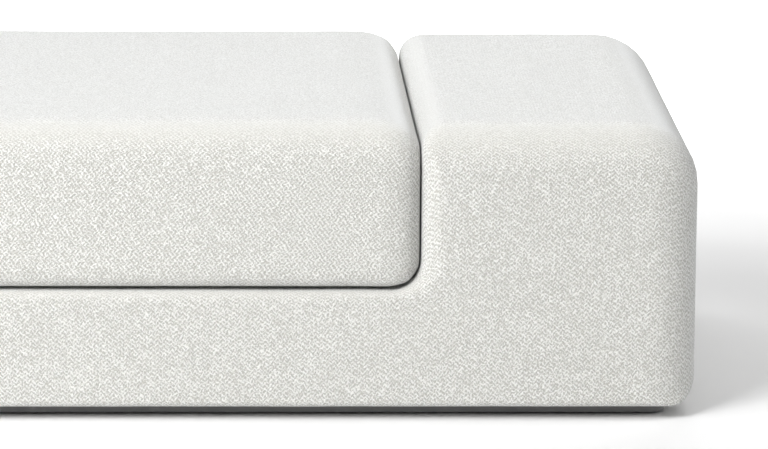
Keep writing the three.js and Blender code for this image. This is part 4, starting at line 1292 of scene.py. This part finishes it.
class DIVAN_OT_tapes(bpy.types.Operator):
    """Make the zip in the cushion's back, and the hook and loop strips under the cushion"""

    bl_idname = "divan.tapes"
    bl_label = "Zip and strips"

    strip_corner = 0.003
    stray = 0.0002

    def execute(self, context):
        trim = context.scene.divan_trim
        beads = row_tree("stitch_row", "bead")
        thread = sewing_thread(trim)
        for place in ("front", "back"):
            for kind, hooked, body in (("hook", True, CRADLE), ("loop", False, CUSHION)):
                node = f"{kind}_strip_{place}"
                name = f"{kind}_tape_{place}"
                dress(self.strip(name, *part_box(node)), grip_tape(name, hooked), body, "grip_tape", node)
                dress(self.strip_seam(trim, beads, thread, node, hooked), thread, body, "grip_tape")
        self.zip(trim, beads, thread)
        return {"FINISHED"}

    def strip(self, name, low, high):
        """A flat tape with cut-off corners and softened edges."""
        x, y = high.x, (high.y - low.y) / 2
        u, v = x - self.strip_corner, y - self.strip_corner
        middle = (low.y + high.y) / 2
        outline = [(x, v), (u, y), (-u, y), (-x, v), (-x, -v), (-u, -y), (u, -y), (x, -v)]
        points = [(along, middle + across, z) for z in (low.z, high.z) for along, across in outline]
        piece = mesh_object(name, points, end_faces(2, len(outline)) + bands(2, len(outline)))
        face_out(piece)
        soften_edges(piece)
        smooth(piece, 35)
        return piece

    def strip_seam(self, trim, beads, thread, node, hooked):
        """Stitches near all four edges, on the side that meets the other strip."""
        low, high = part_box(node)
        thin = trim.thread_width / 3
        height = high.z - thin / 3 if hooked else low.z + thin / 3
        x, near, far = high.x - trim.seam_inset, low.y + trim.seam_inset, high.y - trim.seam_inset
        along = (trim.stitch_length, trim.thread_width, thin)
        across = (trim.thread_width, trim.stitch_length, thin)
        lines = (
            ((-x, near), (x, near), along),
            ((-x, far), (x, far), along),
            ((-x, near), (-x, far), across),
            ((x, near), (x, far), across),
        )
        stray = (self.stray, self.stray, 0)
        rows = []
        for start, end, size in lines:
            rows.append(((*start, height), (*end, height), trim.stitch_pitch, size, stray))
        return rows_of(f"{node}_stitches", beads, thread, 1, rows)

    def zip(self, trim, beads, thread):
        """The tape in its slot, two rows of coil, and a seam on each side."""
        low, high = TAPE_LOW, TAPE_HIGH
        coil_height = high.y - (CUSHION_HIGH.y - TOUCH_GAP)
        face = high.y - coil_height
        tape = box_mesh("zip_tape_cloth", low, (high.x, face, high.z))
        face_out(tape)
        soften_edges(tape)
        smooth(tape, 35)
        dress(tape, woven_tape(), CUSHION, "zip_tape", "cushion_zip_tape")

        pitch = trim.tooth_pitch
        size = (pitch * 0.9, coil_height, trim.coil_width * 0.6)
        rows = []
        for side in (-1, 1):
            y, z = face + size[1] / 2, (low.z + high.z) / 2 + side * trim.coil_width / 5
            start = low.x + pitch + (pitch / 2 if side > 0 else 0)
            rows.append(((start, y, z), (high.x - pitch, y, z), pitch, size, (0, 0, 0)))
        coil = zip_coil()
        coils = rows_of("zip_coil_rings", row_tree("coil_row", "ring"), coil, 1, rows)
        dress(coils, coil, CUSHION, "zip_tape")

        inset = trim.seam_inset
        size = (trim.stitch_length, trim.thread_width / 2, trim.thread_width)
        rows = []
        for z in (low.z + inset, high.z - inset):
            ends = ((low.x + inset, face, z), (high.x - inset, face, z))
            rows.append((*ends, trim.stitch_pitch, size, (self.stray, 0, self.stray)))
        dress(rows_of("zip_stitches", beads, thread, 11, rows), thread, CUSHION, "zip_tape")


class DIVAN_OT_zip_slider(bpy.types.Operator):
    """Make the zip's slider with its bridge and pull"""

    bl_idname = "divan.zip_slider"
    bl_label = "Zip slider"

    bridge_feet, bridge_top = (0.003, -0.0004), (0.0045, 0.0016)
    bridge_half_width, bridge_half_thickness = 0.0011, 0.0008
    pull_place = (0.0075, 0.0007)
    pull_thickness = 0.0006
    pull_sides = 12
    hole_share = 0.55

    def execute(self, context):
        low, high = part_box("cushion_zip_slider")
        middle = (low.z + high.z) / 2
        steel = zinc_steel(context.scene.divan_frame, "slider_steel")
        (foot, sunk), (shoulder, rise) = self.bridge_feet, self.bridge_top
        bridge = self.bar("bridge", [
            (low.x + foot, high.y + sunk, middle), (low.x + shoulder, high.y + rise, middle),
            (high.x - shoulder, high.y + rise, middle), (high.x - foot, high.y + sunk, middle),
        ])
        along, out = self.pull_place
        pull = self.pull(context.scene.divan_trim, Vector((low.x + along, high.y + out, middle)))
        piece = join("slider_bridge_and_pull", [bridge, pull])
        smooth(piece, 40)
        dress(piece, steel, SLIDER, "zinc_steel")
        return {"FINISHED"}

    def bar(self, name, route):
        """A flat bar that follows the route, with rounded edges."""
        wide, thin = self.bridge_half_width, self.bridge_half_thickness
        section = ((-wide, -thin), (wide, -thin), (wide, thin), (-wide, thin))
        points = [(x, y + v, z + u) for x, y, z in route for u, v in section]
        faces = bands(len(route), len(section)) + end_faces(len(route), len(section))
        piece = mesh_object(name, points, faces)
        face_out(piece)
        soften_edges(piece)
        return piece

    def pull(self, trim, place):
        """The pull hangs down from the bridge: a plate with rounded ends and a hole."""
        half, thin, sides = trim.pull_width / 2, self.pull_thickness, self.pull_sides
        outline = []
        for centre, start in ((half, 0), (-trim.pull_length + 3 * half, math.pi)):
            for i in range(sides + 1):
                bend = start + math.pi * i / sides
                outline.append(Vector((half * math.cos(bend), centre - half + half * math.sin(bend))))
        radius = self.hole_share * half
        hole = []
        for i in range(sides):
            bend = TURN * i / sides
            hole.append(Vector((radius * math.cos(bend), radius * math.sin(bend))))
        count = len(outline)
        edges = [(i, (i + 1) % count) for i in range(count)]
        edges += [(count + i, count + (i + 1) % sides) for i in range(sides)]
        places, _, faces, _, _, _ = delaunay_2d_cdt(outline + hole, edges, [], 4, SAME_POINT)
        points = [(place.x + p.x, place.y - thin / 2, place.z + p.y) for p in places]
        piece = mesh_object("pull", points, faces)
        face_along(piece, 1)
        thicken(piece, thin)
        soften_edges(piece, 0.0001, 1)
        return piece


class DIVAN_OT_frame_finishes(bpy.types.Operator):
    """Finish the timber, the plinth, the metal and the glides"""

    bl_idname = "divan.frame_finishes"
    bl_label = "Frame finishes"

    def execute(self, context):
        settings = context.scene.divan_frame
        plies = [plywood(settings, axis) for axis in range(3)]
        finishes = {
            "plinth_lacquer": plinth_lacquer(settings),
            "zinc_steel": zinc_steel(settings, "zinc_steel"),
            "glide_nylon": moulded_nylon(),
        }
        for subpart in frame["record"]["subparts"]:
            node, slot = subpart["node"], subpart["material_slot"]
            if slot == "plywood":
                low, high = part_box(node)
                size = list(high - low)
                material = plies[size.index(min(size))]
            elif slot in finishes:
                material = finishes[slot]
            else:
                continue
            for place in bpy.data.objects[node].material_slots:
                place.material = material
        return {"FINISHED"}


class DIVAN_OT_stage(bpy.types.Operator):
    """Set the camera, the light and the pale floor"""

    bl_idname = "divan.stage"
    bl_label = "Stage"

    lamps = {
        "key": ((-2.2, -3.8, 3.4), (2.0, 2.0)),
        "left": ((-3.4, -2.2, 4.2), (2.6, 2.6)),
        "back": ((0.3, 2.6, 2.8), (3.0, 2.0)),
        "right": ((4.0, -0.5, 1.6), (2.0, 2.0)),
        "top": ((2.2, -0.4, 3.2), (2.0, 2.0)),
        "side": ((-4.5, -3.5, 2.0), (4.0, 3.4)),
    }
    aim = Vector((0.3, -0.1, 0.25))
    reach = 30.0

    def execute(self, context):
        stage = context.scene.divan_stage
        self.set_camera(context, stage)
        for name, (place, size) in self.lamps.items():
            self.set_lamp(f"{name}_light", Vector(place), size, getattr(stage, f"{name}_power"))
        self.set_world(context, stage)
        corners = [(x * self.reach, y * self.reach, 0) for x, y in ((-1, -1), (1, -1), (1, 1), (-1, 1))]
        floor = mesh_object("floor", corners, [(0, 1, 2, 3)])
        floor.data.materials.append(floor_finish())
        context.scene.view_settings.view_transform = "Standard"
        return {"FINISHED"}

    @staticmethod
    def set_camera(context, stage):
        data = bpy.data.cameras.new("camera")
        data.lens = stage.focal_length
        data.clip_end = 100.0
        camera = new_object("camera", data)
        camera.location = stage.camera_place
        look = Euler((QUARTER - stage.camera_down, 0, -stage.camera_right)).to_matrix()
        roll = Euler((0, 0, stage.camera_roll)).to_matrix()
        camera.rotation_euler = (look @ roll).to_euler()
        context.scene.camera = camera

    def set_lamp(self, name, place, size, power):
        data = bpy.data.lights.new(name, "AREA")
        data.shape = "RECTANGLE"
        data.size, data.size_y = size
        data.energy = power
        lamp = new_object(name, data)
        lamp.location = place
        lamp.rotation_euler = (self.aim - place).to_track_quat("-Z", "Y").to_euler()

    @staticmethod
    def set_world(context, stage):
        """A pale room to the camera, which lights the divan only as much as its setting says."""
        world = bpy.data.worlds.new("room")
        world.use_nodes = True
        context.scene.world = world
        room = Nodes(world.node_tree)
        light = room.nodes["Background"]
        room.put((1.0, 1.0, 1.0, 1), light.inputs["Color"])
        room.put(stage.room_strength, light.inputs["Strength"])
        pale = room.node("ShaderNodeBackground", None, 1.0)[0]
        blend = room.node("ShaderNodeMixShader", room.seen(), light.outputs[0], pale)[0]
        room.put(blend, room.nodes["World Output"].inputs["Surface"])


SETTINGS = {
    "divan_cloth": DivanClothSettings,
    "divan_cover": DivanCoverSettings,
    "divan_cushion": DivanCushionSettings,
    "divan_frame": DivanFrameSettings,
    "divan_trim": DivanTrimSettings,
    "divan_stage": DivanStageSettings,
}
OPERATORS = (
    DIVAN_OT_stage,
    DIVAN_OT_cradle_cover,
    DIVAN_OT_seat_cushion,
    DIVAN_OT_cushion_filling,
    DIVAN_OT_cradle_foam,
    DIVAN_OT_springs,
    DIVAN_OT_felt_and_dust_cover,
    DIVAN_OT_tapes,
    DIVAN_OT_zip_slider,
    DIVAN_OT_frame_finishes,
)


class DIVAN_PT_pieces(bpy.types.Panel):
    """Settings and pieces of the divan"""

    bl_idname = "DIVAN_PT_pieces"
    bl_label = "Backless divan"
    bl_space_type = "VIEW_3D"
    bl_region_type = "UI"
    bl_category = "Divan"

    def draw(self, context):
        layout = self.layout
        for name, group in SETTINGS.items():
            column = layout.box().column()
            column.label(text=group.__doc__)
            for prop in group.__annotations__:
                column.prop(getattr(context.scene, name), prop)
        for operator in OPERATORS:
            layout.operator(operator.bl_idname)


def register():
    for item in (*SETTINGS.values(), *OPERATORS, DIVAN_PT_pieces):
        bpy.utils.register_class(item)
    for name, group in SETTINGS.items():
        setattr(bpy.types.Scene, name, PointerProperty(type=group))


def unregister():
    for name in SETTINGS:
        delattr(bpy.types.Scene, name)
    for item in (DIVAN_PT_pieces, *reversed(OPERATORS), *reversed(SETTINGS.values())):
        bpy.utils.unregister_class(item)


def main():
    """Registers the classes and makes every piece."""
    register()
    for operator in OPERATORS:
        group, name = operator.bl_idname.split(".")
        getattr(getattr(bpy.ops, group), name)()


if __name__ == "__main__":
    main()
